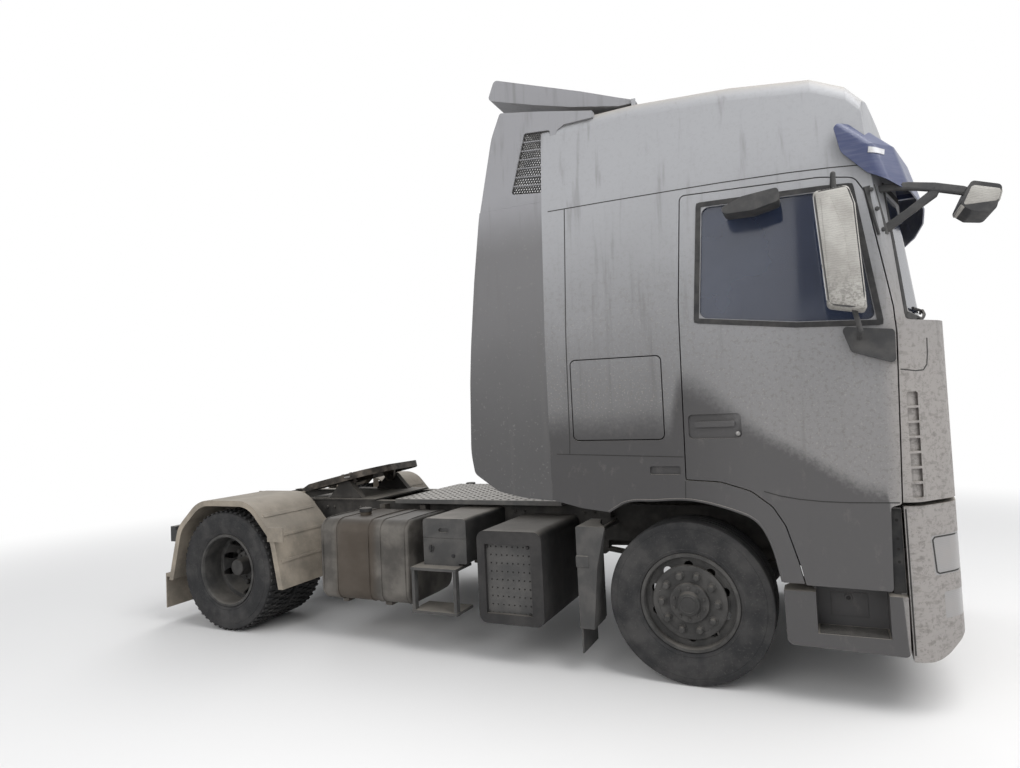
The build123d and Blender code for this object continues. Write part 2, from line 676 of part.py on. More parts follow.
def rear_mudguards():
    profile = guard_profile()
    skin = along_y(profile - offset(profile, -GUARD_T), GUARD_IN_Y, GUARD_OUT_Y)
    lip = along_y(profile - offset(profile, -GUARD_LIP), GUARD_OUT_Y - 5, GUARD_OUT_Y)
    guard = (skin + lip) - block(REAR_X - 1000, REAR_X + 1000, 0, 2 * GUARD_OUT_Y, 0, GUARD_LOW_Z + GUARD_LIP + 1)
    rim_cut = offset(profile, -GUARD_T + 1)
    for z in (600, 800, 960):
        rib = along_y((offset(profile, 6) - rim_cut), GUARD_IN_Y + 60, GUARD_OUT_Y - 40)
        guard += rib & block(REAR_X - 1000, REAR_X + 1000, 0, 2 * GUARD_OUT_Y, z - 11, z + 11)
    for x in (REAR_X + 240, REAR_X - 250):
        guard += block(x - 30, x + 30, RAIL_Y + SEAT, GUARD_IN_Y + 20, 930, 975)
        guard += block(x - 30, x + 30, GUARD_IN_Y - 14, GUARD_IN_Y + 1, 930, 1080)
    guard += block(REAR_X + 490, REAR_X + 655, GUARD_OUT_Y - 4, GUARD_OUT_Y + 8, 764, 879)
    low_y, high_y = 640, GUARD_OUT_Y - 50
    guard += block(FLAP_BACK_X, FLAP_BACK_X + REAR_FLAP_T, low_y, high_y, 127, 430)
    guard += block(FLAP_BACK_X + REAR_FLAP_T - 1, REAR_X - 655, low_y, high_y, 400, 430)
    node("rear_mudguards", *both_sides(guard))


def tail_lamps():
    lamp = block(*LAMP_X, *LAMP_Y, *LAMP_Z)
    bracket = block(LAMP_X[1] - 1, RAIL_REAR_X - SEAT, 360, LAMP_Y[1], 740, 800)
    node("tail_lamps", *both_sides(lamp + bracket))


# Front end

# Plan of the bumper and lower cab: x, y, rounding
LOWER_PLAN = (
    (CAB_REAR_X, HALF_W), (1235, HALF_W, 120), (1440, 0.8 * HALF_W, 230), (1490, 0.384 * HALF_W, 900),
)
# Plan of the cab above the shoulder, at the shoulder's height
UPPER_PLAN = (
    (CAB_REAR_X, HALF_W), (1200, HALF_W, 90), (1275, HALF_W - 165, 120), (1395, 0.512 * HALF_W, 500),
    (1440, 0.176 * HALF_W, 700),
)
# Lean of the cab's sides and rounding of its roof: y, z, rounding
END_PROFILE = (
    (HALF_W, 560), (HALF_W, 2180, 2000), (HALF_W - 53, CAB_CAP_Z, 600), (HALF_W - 145, CAB_CAP_Z + 850),
)
# Middle line of the cab: x, z, rounding
SIDE_PROFILE = (
    (CAB_REAR_X, 560), (CAB_REAR_X, CAB_CAP_Z + 647, 20), (-200, CAB_CAP_Z + 656, 300), (400, CAB_CAP_Z + 617, 900),
    (850, CAB_CAP_Z + 553, 250), (1030, CAB_CAP_Z + 460, 150), (1205, CAB_CAP_Z + 250, 300), (1300, CAB_CAP_Z, 400),
    (1358, CAB_CAP_Z - 160, 200), (1440, 2150, 60), (1492, 2090, 30), (1496, 1700, 400), (1480, 1139), (1480, 560),
)
# Bends of the roof's rounded upper edge, from the rear: x, z
ROOF_EDGE = (
    (CAB_REAR_X - 60, CAB_CAP_Z + 646), (-200, CAB_CAP_Z + 656), (400, CAB_CAP_Z + 617), (850, CAB_CAP_Z + 553),
    (1030, CAB_CAP_Z + 460), (1205, CAB_CAP_Z + 250),
)


def bumper_form(inset=0):
    plan = both_ways((1000, BUMPER_Y), (1235, BUMPER_Y, 120), *LOWER_PLAN[2:])
    side = outline((1000, 296), (1320, 296, 150), (1492, 440, 220), (1492, BUMPER_TOP_Z - 35), (1464, BUMPER_TOP_Z),
                   (1000, BUMPER_TOP_Z))
    if inset:
        plan, side = offset(plan, -inset), offset(side, -inset)
    return along_z(plan, 250, BUMPER_TOP_Z + 50) & along_y(side, -HALF_W - 50, HALF_W + 50)


LAMP_ZONE = ((1300, 738, 14), (1600, 738), (1600, 950), (1288, 950, 14))
FOG_ZONE = (
    (HALF_W - 130, 505, 20), (HALF_W - 130, 645, 20), (HALF_W - 450, 645, 20), (HALF_W - 480, 505, 20),
)


def front_bumper():
    lamp_in = HALF_W - 450
    shell = bumper_form() - bumper_form(BUMPER_T)
    shell &= block(BUMPER_BACK_X, 1600, -HALF_W, HALF_W, 250, BUMPER_TOP_Z + 50)
    lamp_cut = along_y(outline(*LAMP_ZONE), lamp_in, HALF_W + 50)
    fog_cut = along_x(outline(*FOG_ZONE), 1340, 1600)
    slot = block(1430, 1500, TILT_ARM_Y - MOVING_GAP, TILT_ARM_Y + TILT_ARM_T + MOVING_GAP, TILT_Z - 15, BUMPER_TOP_Z + 5)
    for cut in both_sides(lamp_cut, fog_cut, slot):
        shell -= cut
    grille_low, grille_high = GRILLE_Z
    shell -= block(1400, 1600, -GRILLE_HALF, GRILLE_HALF, grille_low, grille_high)
    shell -= block(1100, 1445, -560, 560, BUMPER_TOP_Z - 35, BUMPER_TOP_Z + 5)
    for z in (grille_low + 45, grille_low + 95, grille_low + 145):
        shell += block(bumper_inner_x() + 4, bumper_inner_x() + 18, -GRILLE_HALF - 2, GRILLE_HALF + 2, z - 8, z + 8)
    node("front_bumper", shell)
    wall = bumper_form() - bumper_form(BUMPER_T - 4)
    lens = wall & along_y(offset(outline(*LAMP_ZONE), -SEAT), lamp_in + SEAT, HALF_W + 50)
    fog = wall & along_x(offset(outline(*FOG_ZONE), -SEAT), 1340, 1600)
    node("headlamps", *both_sides(lens, fog))


def steps():
    """Entrance steps below each door, with a wheel side that clears the steered tyre."""
    body = along_y(outline((546, STEP_TOP_Z), (550, 330, 40), (1155, 317, 30), (1160, STEP_TOP_Z)),
                   STEP_IN_Y, STEP_OUT_Y)
    body -= block(711, 1072, STEP_OUT_Y - 185, STEP_OUT_Y + 65, 406, STEP_TOP_Z + 66)
    body -= rod((0, KINGPIN_Y, 200), (0, KINGPIN_Y, 800), WHEEL_SWEEP_R)
    ledge_out = STEP_OUT_Y - 70
    for x in (700, 1072):
        body += block(x, x + 12, ledge_out - 180, ledge_out, STEP_TOP_Z - 1, 900)
    body += block(700, 1084, ledge_out - 180, ledge_out, 880, 900)
    body += block(900, 1084, RAIL_Y + SEAT, STEP_IN_Y + 5, 560, 600)
    body += block(900, 1084, RAIL_Y + SEAT, RAIL_Y + 30, 560, 900)
    body += block(1100, 1160, ledge_out - 15, ledge_out + 7, STEP_TOP_Z - 1, 1100)
    node("steps", *both_sides(body))


def wheel_strips():
    """Upright splash strip and flap behind each front wheel, on an arm from the rail."""
    y_low, y_high = 900, HALF_W - 35
    strip = along_y(outline((-695, 954, 10), (-498, 954, 10), (-560, 700, 200), (-599, 300), (-695, 300)), y_low, y_high)
    strip -= rod((0, KINGPIN_Y, 200), (0, KINGPIN_Y, 1100), WHEEL_SWEEP_R)
    arm = rod((-650, RAIL_Y + SEAT, 860), (-650, y_low + 5, 860), 18)
    flap = block(-690, -680, y_low, y_high - 15, 137, 305)
    node("front_flaps", *both_sides(strip + arm + flap))


# Cab

def cab_form(change=0):
    """The cab's outer form, or the same form grown, or drawn in by a wall when the change is negative."""
    if change not in CAB_FORMS:
        CAB_FORMS[change] = made_cab_form(change)
    return CAB_FORMS[change]


def made_cab_form(change):
    side, end = outline(*SIDE_PROFILE), both_ways_z(END_PROFILE)
    low, high = both_ways(*LOWER_PLAN), both_ways(*UPPER_PLAN)
    if change:
        side, end, low, high = [offset(face, change, kind=Kind.INTERSECTION) for face in (side, end, low, high)]
    shoulder = SHOULDER_Z + change
    top = CAB_CAP_Z + 950
    body = along_z(low, 500, shoulder)
    rise = top - SHOULDER_Z
    raked = extrude(Plane.XY.offset(SHOULDER_Z) * high, rise, dir=(-SCREEN_RAKE, 0, 1))
    if change < 0:
        raked += extrude(Plane.XY.offset(SHOULDER_Z) * high, -change + 1, dir=(0, 0, -1))
    raked &= block(-2000, 2000, -2000, 2000, shoulder - 1, top)
    return (body + raked) & along_y(side, -1.2 * HALF_W, 1.2 * HALF_W) & along_x(end, -1500, 2000)


def panel(zone, depth, start=0):
    """A piece of the cab's wall inside a zone, from a depth below the skin to a deeper one."""
    return (cab_form(-start) & zone) - cab_form(-depth)


def roof_form(change=0):
    """The cab's form above the cap line with its long upper edges rounded, run by run."""
    whole = cab_form(change) & block(-2000, 2000, -HALF_W, HALF_W, CAB_CAP_Z - 40, CAB_CAP_Z + 940)
    for edge in both_sides(*[edge_room(*run, change) for run in zip(ROOF_EDGE, ROOF_EDGE[1:])]):
        whole -= edge
    return whole


def edge_room(start, end, change):
    """What a rounded edge leaves out along one run of the left upper edge."""
    (wall_y, wall_z), (head_y, head_z) = END_PROFILE[2][:2], END_PROFILE[3][:2]
    lean = (wall_y - head_y) / (head_z - wall_z)
    (x_low, z_rear), (x_high, z_front) = start, end
    fall = (z_rear - z_front) / (x_high - x_low)
    top = z_rear + change * hypot(1, fall) + SEAT
    y = wall_y - lean * (top - wall_z) + change * hypot(1, lean) + SEAT
    radius = ROOF_EDGE_R + change
    reach = 2 * radius
    rounded = outline((y - reach, top - reach), (y + lean * reach, top - reach), (y, top, radius), (y - reach, top))
    corner = outline((y - 0.95 * radius, top - 0.9 * radius), (y + 90, top - 0.9 * radius), (y + 90, top + 60),
                     (y - 0.95 * radius, top + 60))
    way = Vector(x_high - x_low, lean * (z_rear - z_front), z_front - z_rear)
    return extrude(Plane.YZ.offset(x_low) * (corner - rounded), way.length, dir=way.normalized())


DOOR_ZONE = (
    (41, 1262, 10), (53, 2322, 900), (89, CAB_CAP_Z - 60, 30), (866, CAB_CAP_Z - 92, 300), (1040, CAB_CAP_Z - 125, 60),
    (1084, CAB_CAP_Z - 210, 60), (1182, 2187, 60), (1188, 2040, 200), (1169, 1441, 600), (1158, 1128, 15),
    (1107, 1112, 15), (1093, 664, 15), (668, 672, 8), (640, 800, 120), (583, 999, 150), (520, 1106, 100),
    (406, 1196, 150), (238, 1249, 150),
)
SHELL_ZONE = (
    (CAB_REAR_X, 1128), (-627, 1078, 120), (-452, 1056, 30), (-340, 1125, 120), (28, 1143, 300), (221, 1109, 150),
    (397, 1046, 150), (478, 950, 80), (529, 773, 200), (548, 679), (700, 679), (700, 1139), (1600, 1139),
    (1600, CAB_CAP_Z), (CAB_REAR_X, CAB_CAP_Z),
)
WINDOW_ZONE = (
    (172, 2225, 45), (700, 2150, 300), (1098, 2125, 35), (1004, CAB_CAP_Z - 184, 45), (866, CAB_CAP_Z - 174, 200),
    (214, CAB_CAP_Z - 153, 45),
)
LOCKER_ZONE = ((-659, 1515, 30), (-659, 2026, 30), (-78, 2016, 30), (-80, 1508, 30))
SCREEN_ZONE = (
    (HALF_W - 152, 2170, 50), (HALF_W - 210, CAB_CAP_Z - 182, 70), (210 - HALF_W, CAB_CAP_Z - 182, 70),
    (152 - HALF_W, 2170, 50),
)
# Shallow recesses in the cab's skin: the door's handle, the grip under the locker, the corner's louvres
HANDLE_ZONE = ((69, 1503, 25), (69, 1647, 25), (373, 1647, 25), (373, 1503, 25))
HANDLE_BAR_ZONE = ((106, 1570, 10), (106, 1604, 10), (336, 1604, 10), (336, 1570, 10))
GRIP_ZONE = ((-177, 1291, 12), (-177, 1341, 12), (9, 1341, 12), (9, 1291, 12))
LOUVRE_ZONE = ((1213, 1160, 12), (1216, 1724, 12), (1272, 1724, 12), (1266, 1160, 12))


def recess(zone):
    """A shallow cut through the left skin, to the outline given in x and z."""
    return along_y(zone, HALF_W - 150, HALF_W + 50) - cab_form(-RECESS)


def lid_slots():
    """Grille slots of the front lid, one over another."""
    middle = (LID_LOW_Z + LID_HIGH_Z) / 2
    half = 0.74 * LID_Y
    slots = None
    for i in range(LID_SLOTS):
        z = middle + (i - (LID_SLOTS - 1) / 2) * LID_SLOT_PITCH - 60
        slot = Pos(0, z) * RectangleRounded(2 * half, LID_SLOT_H, 20)
        slots = slot if slots is None else slots + slot
    return along_x(slots, 1380, 1600)


def cab():
    """Shell, back wall, doors, lids and glass, all cut from one hollow form so that their skins run on."""
    side_in, side_out = HALF_W - 550, HALF_W + 50
    door_zone = outline(*DOOR_ZONE)
    window = outline(*WINDOW_ZONE)
    shell = panel(along_y(outline(*SHELL_ZONE), -side_out, side_out), WALL)
    cuts = [along_y(offset(door_zone, PANEL_GAP), side_in, side_out)]
    cuts.append(along_y(offset(outline(*LOCKER_ZONE), PANEL_GAP), HALF_W - 100, side_out))
    for cut in both_sides(*cuts):
        shell -= cut
    shell -= along_x(outline(*SCREEN_ZONE), 1130, 1600)
    lid_face = Pos(0, (LID_LOW_Z + LID_HIGH_Z) / 2) * RectangleRounded(2 * LID_Y, LID_HIGH_Z - LID_LOW_Z, 30)
    shell -= along_x(offset(lid_face, PANEL_GAP), 1380, 1600)
    louvres = outline(*LOUVRE_ZONE)
    low_z, high_z = LOUVRE_ZONE[0][1], LOUVRE_ZONE[1][1]
    for i in range(1, LOUVRES):
        z = low_z + (high_z - low_z) * i / LOUVRES
        louvres -= Pos(1243, z) * Rectangle(120, LOUVRE_T)
    for cut in both_sides(recess(outline(*GRIP_ZONE)), recess(louvres)):
        shell -= cut
    back_zone = block(CAB_REAR_X - 5, CAB_REAR_X + WALL, -side_out, side_out, 500, CAB_CAP_Z + 5)
    node("cab_back_wall", shell & back_zone)
    node("cab_shell", shell - back_zone)

    cap = (roof_form() & block(-2000, 2000, -HALF_W, HALF_W, CAB_CAP_Z, CAB_CAP_Z + 940)) - roof_form(-CAP_WALL)
    lug_y, lug_z = FLAP_Y + 6, CAB_CAP_Z + 625
    lug = block(FLAP_PIN_X - 13, FLAP_PIN_X + 13, lug_y, lug_y + 12, lug_z, FLAP_PIN_Z + 10)
    lug += across(FLAP_PIN_X, FLAP_PIN_Z, FLAP_PIN_R, FLAP_Y - 34, lug_y + 1)
    prop = block(CAB_REAR_X + 30, CAB_REAR_X + 60, 690, 720, CAB_CAP_Z + 630, CAB_CAP_Z + 776)
    for one in both_sides(prop, lug):
        cap += one
    node("roof_cap", cap)

    node("front_lid", panel(along_x(lid_face, 1380, 1600), LID_T) - (lid_slots() - cab_form(-RECESS)))

    glass_depth = GLASS_INSET + GLASS_T
    pane = panel(along_y(offset(window, -SEAT), side_in, side_out), glass_depth, GLASS_INSET)
    locker = panel(along_y(outline(*LOCKER_ZONE), HALF_W - 100, side_out), LOCKER_T)
    handle_room = outline(*HANDLE_ZONE) - outline(*HANDLE_BAR_ZONE)
    door = cab_form() & along_y(door_zone - window, side_in, side_out)
    door -= along_y(handle_room, HALF_W - RECESS, side_out)
    node("door_left", door - cab_form(-DOOR_T))
    door = cab_form() & along_y(door_zone - window, -side_out, -side_in)
    door -= along_y(handle_room, -side_out, RECESS - HALF_W)
    node("door_right", door - cab_form(-DOOR_T))
    for side, solids in (("left", (pane, locker)), ("right", (other_side(pane), other_side(locker)))):
        node(f"door_glass_{side}", solids[0])
        node(f"locker_lid_{side}", solids[1])
    node("windscreen", panel(along_x(offset(outline(*SCREEN_ZONE), -SEAT), 1130, 1600), glass_depth, GLASS_INSET))


def cab_floor():
    """Floor with the engine tunnel, firewall and the two tilting arms."""
    side_y = HALF_W - WALL + 1
    rear_x, under = CAB_REAR_X + 20, CAB_FLOOR_Z - FLOOR_T
    tunnel_z = CAB_FLOOR_Z + TUNNEL_H
    floor = block(rear_x, FIREWALL_X, -side_y, side_y, under, CAB_FLOOR_Z)
    floor -= block(CAB_REAR_X, FIREWALL_X + 10, -TUNNEL_Y, TUNNEL_Y, under - 5, CAB_FLOOR_Z + 5)
    tunnel = block(rear_x, FIREWALL_X, -TUNNEL_Y - FLOOR_T, TUNNEL_Y + FLOOR_T, under, tunnel_z)
    tunnel -= block(CAB_REAR_X - 50, FIREWALL_X + 10, -TUNNEL_Y, TUNNEL_Y, under - 5, tunnel_z - FLOOR_T)
    firewall = block(FIREWALL_X - FLOOR_T, FIREWALL_X, -side_y, side_y, under, SHOULDER_Z - 60)
    firewall -= block(FIREWALL_X - 50, FIREWALL_X + 10, -TUNNEL_Y, TUNNEL_Y, under - 5, tunnel_z - FLOOR_T)
    inside = (floor + tunnel + firewall) & cab_form(-WALL - SEAT)
    door_room = along_y(offset(outline(*DOOR_ZONE), PANEL_GAP), HALF_W - DOOR_T - MOVING_GAP, HALF_W + 50)
    for cut in both_sides(door_room):
        inside -= cut
    low = TILT_Z - TILT_EYE_R
    arm = along_y(outline(
        (TILT_X - TILT_EYE_R, low, 30), (TILT_X + TILT_EYE_R, low, 30), (TILT_X + TILT_EYE_R, 1145), (1440, 1160),
        (1440, 1215), (1380, 1225), (FIREWALL_X - 8, 1300), (FIREWALL_X - 8, 1190), (TILT_X - TILT_EYE_R, 1150),
    ), TILT_ARM_Y, TILT_ARM_Y + TILT_ARM_T)
    arm -= across(TILT_X, TILT_Z, TILT_PIN_R + PIN_PLAY, TILT_ARM_Y - 80, TILT_ARM_Y + 120)
    for one in both_sides(arm & cab_form(-WALL - SEAT)):
        inside += one
    node("cab_floor", inside)


DEFLECTOR_ZONE = (
    (CAB_REAR_X, CAB_CAP_Z + 72), (-1300, CAB_CAP_Z + 72), (-1349, CAB_CAP_Z - 412, 900), (-1401, 1925, 900),
    (-1417, 1442, 600), (-1392, 1300, 60), (-1217, 1181, 120), (-1037, 1141, 200), (CAB_REAR_X, 1123),
)
FAIRING_ZONE = (
    (-1295, CAB_CAP_Z + 73), (-1209, CAB_CAP_Z + 610, 500), (-1143, CAB_CAP_Z + 788, 20), (-844, CAB_CAP_Z + 729, 300),
    (-452, CAB_CAP_Z + 640, 20), (-460, CAB_CAP_Z + 594, 10), (-662, CAB_CAP_Z + 592, 15), (-715, CAB_CAP_Z + 559, 40),
    (-766, CAB_CAP_Z + 217, 300), (-795, CAB_CAP_Z + 73),
)
GRILLE_ZONE = (
    (-955, CAB_CAP_Z + 593, 20), (-759, CAB_CAP_Z + 574, 20), (-829, CAB_CAP_Z + 135, 20), (-1054, CAB_CAP_Z + 163, 20),
)


def side_deflectors():
    """Deflector behind each side of the cab, and the fairing with its barred opening above it."""
    end = both_ways_z(END_PROFILE)
    rear_x = CAB_REAR_X - SEAT
    ring = along_x(end, rear_x - 700, rear_x) - along_x(offset(end, -FAIRING_T), rear_x - 720, CAB_REAR_X + 5)
    lower = ring & along_y(outline(*DEFLECTOR_ZONE), 0.7 * HALF_W, HALF_W + 50)
    (y_low, z_low), (y_high, z_high) = END_PROFILE[2][:2], END_PROFILE[3][:2]
    lean = degrees(atan((y_low - y_high) / (z_high - z_low)))
    plate = along_y(outline(*FAIRING_ZONE), 0, FAIRING_T)
    plate -= along_y(outline(*GRILLE_ZONE), -10, FAIRING_T + 10)
    mid_y = FAIRING_T / 2
    (x_low, z_foot), (x_high, z_head) = GRILLE_ZONE[3][:2], GRILLE_ZONE[0][:2]
    for i in range(1, FAIRING_BARS + 1):
        share = i / (FAIRING_BARS + 1)
        x, z = x_low + (x_high - x_low) * share, z_foot + (z_head - z_foot) * share
        plate += rod((x - 4, mid_y, z), (x + 228 - 28 * share, mid_y, z - 26 + 8 * share), 8)
    fairing = Pos(0, y_low, z_low) * Rot(lean, 0, 0) * Pos(0, -FAIRING_T, -z_low) * plate
    fairing = fairing - roof_form(SEAT)
    whole = lower + fairing.solids().sort_by(SortBy.VOLUME)[-1]
    node("side_deflectors", *both_sides(whole))


FLAP_ZONE = (
    (-203, CAB_CAP_Z + 685), (-303, CAB_CAP_Z + 724, 60), (-562, CAB_CAP_Z + 830, 400), (-1209, CAB_CAP_Z + 1071, 30),
    (-1268, CAB_CAP_Z + 933, 30), (-903, CAB_CAP_Z + 816, 200), (-640, CAB_CAP_Z + 740, 100),
    (-300, CAB_CAP_Z + 666, 4), (-203, CAB_CAP_Z + 664),
)


def roof_deflector():
    flap = along_y(outline(*FLAP_ZONE), -FLAP_Y, FLAP_Y) + across(FLAP_PIN_X, FLAP_PIN_Z, FLAP_EYE_R, -FLAP_Y, FLAP_Y)
    for hole in both_sides(across(FLAP_PIN_X, FLAP_PIN_Z, FLAP_PIN_R + PIN_PLAY, FLAP_Y - 36, FLAP_Y + 1)):
        flap -= hole
    node("roof_deflector", flap)


# Plan of the visor at its lower edge: x, y, rounding
VISOR_PLAN = (
    (900, VISOR_Y), (1205, VISOR_Y, 90), (1325, VISOR_Y - 130, 130), (1445, 0.512 * HALF_W, 500), (1490, 0.176 * HALF_W, 700),
)
# Side view of the visor: its rear edge runs down and forward round the corner
VISOR_ZONE = (
    (955, CAB_CAP_Z + 165, 15), (975, CAB_CAP_Z + 187, 10), (1700, CAB_CAP_Z + 187), (1700, CAB_CAP_Z - 222),
    (1305, CAB_CAP_Z - 222, 30), (1107, CAB_CAP_Z - 117, 80), (983, CAB_CAP_Z + 22, 80),
)


def visor_form(inset=0):
    plan = both_ways(*VISOR_PLAN)
    if inset:
        plan = offset(plan, -inset, kind=Kind.INTERSECTION)
    start = Plane.XY.offset(VISOR_LOW_Z)
    slip = (VISOR_HIGH_RAKE - VISOR_LOW_RAKE) * (VISOR_BEND_Z - VISOR_LOW_Z)
    low = extrude(start * plan, VISOR_RISE * hypot(1, VISOR_LOW_RAKE), dir=(-VISOR_LOW_RAKE, 0, 1))
    high = extrude(start * (Pos(slip, 0) * plan), VISOR_RISE * hypot(1, VISOR_HIGH_RAKE), dir=(-VISOR_HIGH_RAKE, 0, 1))
    return low & high


def sun_visor():
    """Tinted band that stands off the cab's front below the roof and wraps round its corners."""
    outer = visor_form()
    shell = (outer - visor_form(VISOR_T)) & along_y(outline(*VISOR_ZONE), -HALF_W - 50, HALF_W + 50)
    for y in (0.28 * HALF_W, 0.7 * HALF_W):
        for post in both_sides(block(1100, 1600, y - 15, y + 15, CAB_CAP_Z - 75, CAB_CAP_Z - 45)):
            shell += post & outer
    notch = block(1240, 1370, ARM_Y - VISOR_NOTCH / 2, ARM_Y + VISOR_NOTCH / 2, VISOR_LOW_Z, ARM_ROOT_Z + 10)
    for cut in both_sides(notch):
        shell -= cut
    shell -= cab_form(SEAT)
    node("sun_visor", shell.solids().sort_by(SortBy.VOLUME)[-1])


def seats_and_bunk():
    made = []
    back_z = SEAT_Z + 120
    head_z = back_z + 670
    for y in (-SEAT_Y, SEAT_Y):
        base = block(150, 620, y - 110, y + 110, CAB_FLOOR_Z + SEAT, SEAT_Z + 1)
        cushion = along_y(outline((120, SEAT_Z, 30), (680, SEAT_Z, 40), (690, SEAT_Z + 160, 60), (120, SEAT_Z + 130, 40)),
                          y - 255, y + 255)
        rest = along_y(outline((60, back_z, 40), (235, back_z, 60), (120, back_z + 680, 60), (-60, back_z + 680, 60)),
                       y - 245, y + 245)
        head = along_y(outline((-60, head_z, 20), (95, head_z, 20), (75, head_z + 185, 50), (-60, head_z + 185, 50)),
                       y - 140, y + 140)
        made.append(base + cushion + rest + head)
    bunk_z = CAB_FLOOR_Z + TUNNEL_H + SEAT
    bunk = along_y(outline((-785, bunk_z, 20), (-785, bunk_z + 190, 50), (-130, bunk_z + 190, 60), (-130, bunk_z, 20)),
                   90 - HALF_W, HALF_W - 90)
    node("seats", *made, bunk)


def dashboard():
    front = FIREWALL_X - FLOOR_T - SEAT
    board = along_y(outline((1040, 1500, 30), (960, 1700, 40), (930, 1960, 50), (1060, 2035, 60),
                            (front, 2030, 20), (front, 1500, 10)), 130 - HALF_W, HALF_W - 130)
    board &= cab_form(-WALL - 3)
    tilt = radians(STEER_RAKE)
    top = Vector(STEER_X + 40 * sin(tilt), STEER_Y, STEER_Z - 40 * cos(tilt))
    foot = Vector(STEER_X + 420 * sin(tilt), STEER_Y, STEER_Z - 420 * cos(tilt))
    board += rod(top, foot, 42)
    node("dashboard", board)


def steering_wheel():
    wheel = Torus(STEER_R, STEER_RIM_R)
    wheel += Cylinder(52, 36)
    for turn in (45, 135, 225, 315):
        wheel += Rot(0, 0, turn) * Pos(STEER_R / 2, 0, 0) * Box(STEER_R, 34, 12)
    wheel += Pos(0, 0, -22) * Cylinder(30, 30)
    node("steering_wheel", Pos(STEER_X, STEER_Y, STEER_Z) * Rot(0, -STEER_RAKE, 0) * wheel)


# Steering at the front wheels

def knuckles():
    """Knuckle with its two jaws and kingpin, spindle, brake plate and steering arm."""
    low, high = AXLE_Z - EYE_H / 2, AXLE_Z + EYE_H / 2
    foot, head = low - JAW_T, high + JAW_T
    web_y = KINGPIN_Y + EYE_R + MOVING_GAP
    body = block(-KNUCKLE_HALF, KNUCKLE_HALF, web_y, web_y + 26, foot, head)
    for z_low, z_high in ((foot, low - 1), (high + 1, head)):
        body += block(-KNUCKLE_HALF, KNUCKLE_HALF, KINGPIN_Y, web_y + 5, z_low, z_high)
        body += rod((0, KINGPIN_Y, z_low), (0, KINGPIN_Y, z_high), KNUCKLE_HALF)
    body += rod((0, KINGPIN_Y, foot), (0, KINGPIN_Y, head), KINGPIN_R)
    body += across(0, AXLE_Z, SPINDLE_R, web_y + 10, FRONT_TRACK_Y + 105)
    body += across(0, AXLE_Z, BRAKE_R, web_y + 20, web_y + 62)
    arm = along_z(outline((-10, KINGPIN_Y - 40), (-10, KINGPIN_Y + 26), (-STEER_ARM, KINGPIN_Y + 26),
                          (-STEER_ARM, KINGPIN_Y - 26)), foot, foot + STEER_ARM_T)
    arm += rod((-STEER_ARM, KINGPIN_Y, foot), (-STEER_ARM, KINGPIN_Y, foot + STEER_ARM_T), 28)
    body += arm
    body -= rod((-STEER_ARM, KINGPIN_Y, foot - 5), (-STEER_ARM, KINGPIN_Y, foot + STEER_ARM_T + 5), ROD_END_R + PIN_PLAY)
    node("knuckle_left", body)
    node("knuckle_right", other_side(body))
    rod_z = foot - 26
    bar = across(-STEER_ARM, rod_z, TRACK_ROD_R, -KINGPIN_Y, KINGPIN_Y)
    for y in (-KINGPIN_Y, KINGPIN_Y):
        bar += rod((-STEER_ARM, y, rod_z - 22), (-STEER_ARM, y, rod_z + 22), 30)
        bar += rod((-STEER_ARM, y, rod_z), (-STEER_ARM, y, foot + STEER_ARM_T - 2), ROD_END_R)
    node("track_rod", bar)


# Mirrors

def door_mirror():
    """Tall double mirror on two bent tubes, with its lower pod on the door."""
    mid_y = HALF_W + 200
    head_top = CAB_CAP_Z - 262
    head = along_y(outline((829, head_top, 40), (992, head_top + 7, 40), (1015, head_top - 88, 60), (1038, 2150, 60),
                           (867, 2190, 50)), HALF_W + 110, HALF_W + 295)
    tube_z = CAB_CAP_Z - 157
    upper = rod((930, mid_y, head_top - 8), (930, mid_y, tube_z), 13)
    upper += rod((930, mid_y, tube_z), (930, HALF_W - 60, tube_z), 13) + Pos(930, mid_y, tube_z) * Sphere(13)
    lower = rod((985, mid_y, 2180), (1010, mid_y, 2050), 13) + rod((1010, mid_y, 2050), (1010, HALF_W - 10, 2020), 13)
    lower += Pos(1010, mid_y, 2050) * Sphere(13)
    pod = along_y(outline((925, 2096, 20), (968, 1956, 30), (1176, 1878, 20), (1180, 2060, 20)),
                  HALF_W + SEAT, HALF_W + 35)
    return head + upper + lower + pod


def kerb_mirror():
    low = CAB_CAP_Z - 267
    head = along_y(outline((328, low + 32, 20), (463, low + 87, 40), (658, low + 106, 20), (658, low + 30, 20),
                           (520, low, 40), (374, low + 2, 20)), HALF_W, HALF_W + 150)
    return head + rod((500, HALF_W + 10, low + 57), (500, HALF_W - 50, low + 97), 16)


def front_mirror():
    """Arm over the screen's corner that carries a small mirror in front of the cab."""
    y, root = ARM_Y, ARM_ROOT_Z
    elbow, strut = CAB_CAP_Z - 236, CAB_CAP_Z - 446
    arm = rod((1110, y, root - 1), (1210, y, root), 12) + rod((1210, y, root), (1422, y, elbow), 12)
    arm += rod((1422, y, elbow), (1630, y, elbow - 69), 12)
    arm += rod((1129, y, strut), (1435, y, elbow - 14), 9)
    for x, z in ((1210, root), (1422, elbow)):
        arm += Pos(x, y, z) * Sphere(15)
    low = CAB_CAP_Z - 428
    face = along_y(outline((1519, low + 64, 20), (1575, low + 178, 20), (1708, low + 132, 25), (1668, low, 30),
                           (1571, low + 18, 20)), y - 150, y + 110)
    return arm + face


def mirrors():
    """All mirrors, cut clear of the cab's skin that they stand on."""
    skin_room = cab_form(SEAT)
    main = door_mirror() - skin_room
    node("mirror_left", main)
    node("mirror_right", other_side(main), other_side(kerb_mirror() - skin_room))
    node("front_mirror", other_side(front_mirror() - skin_room))


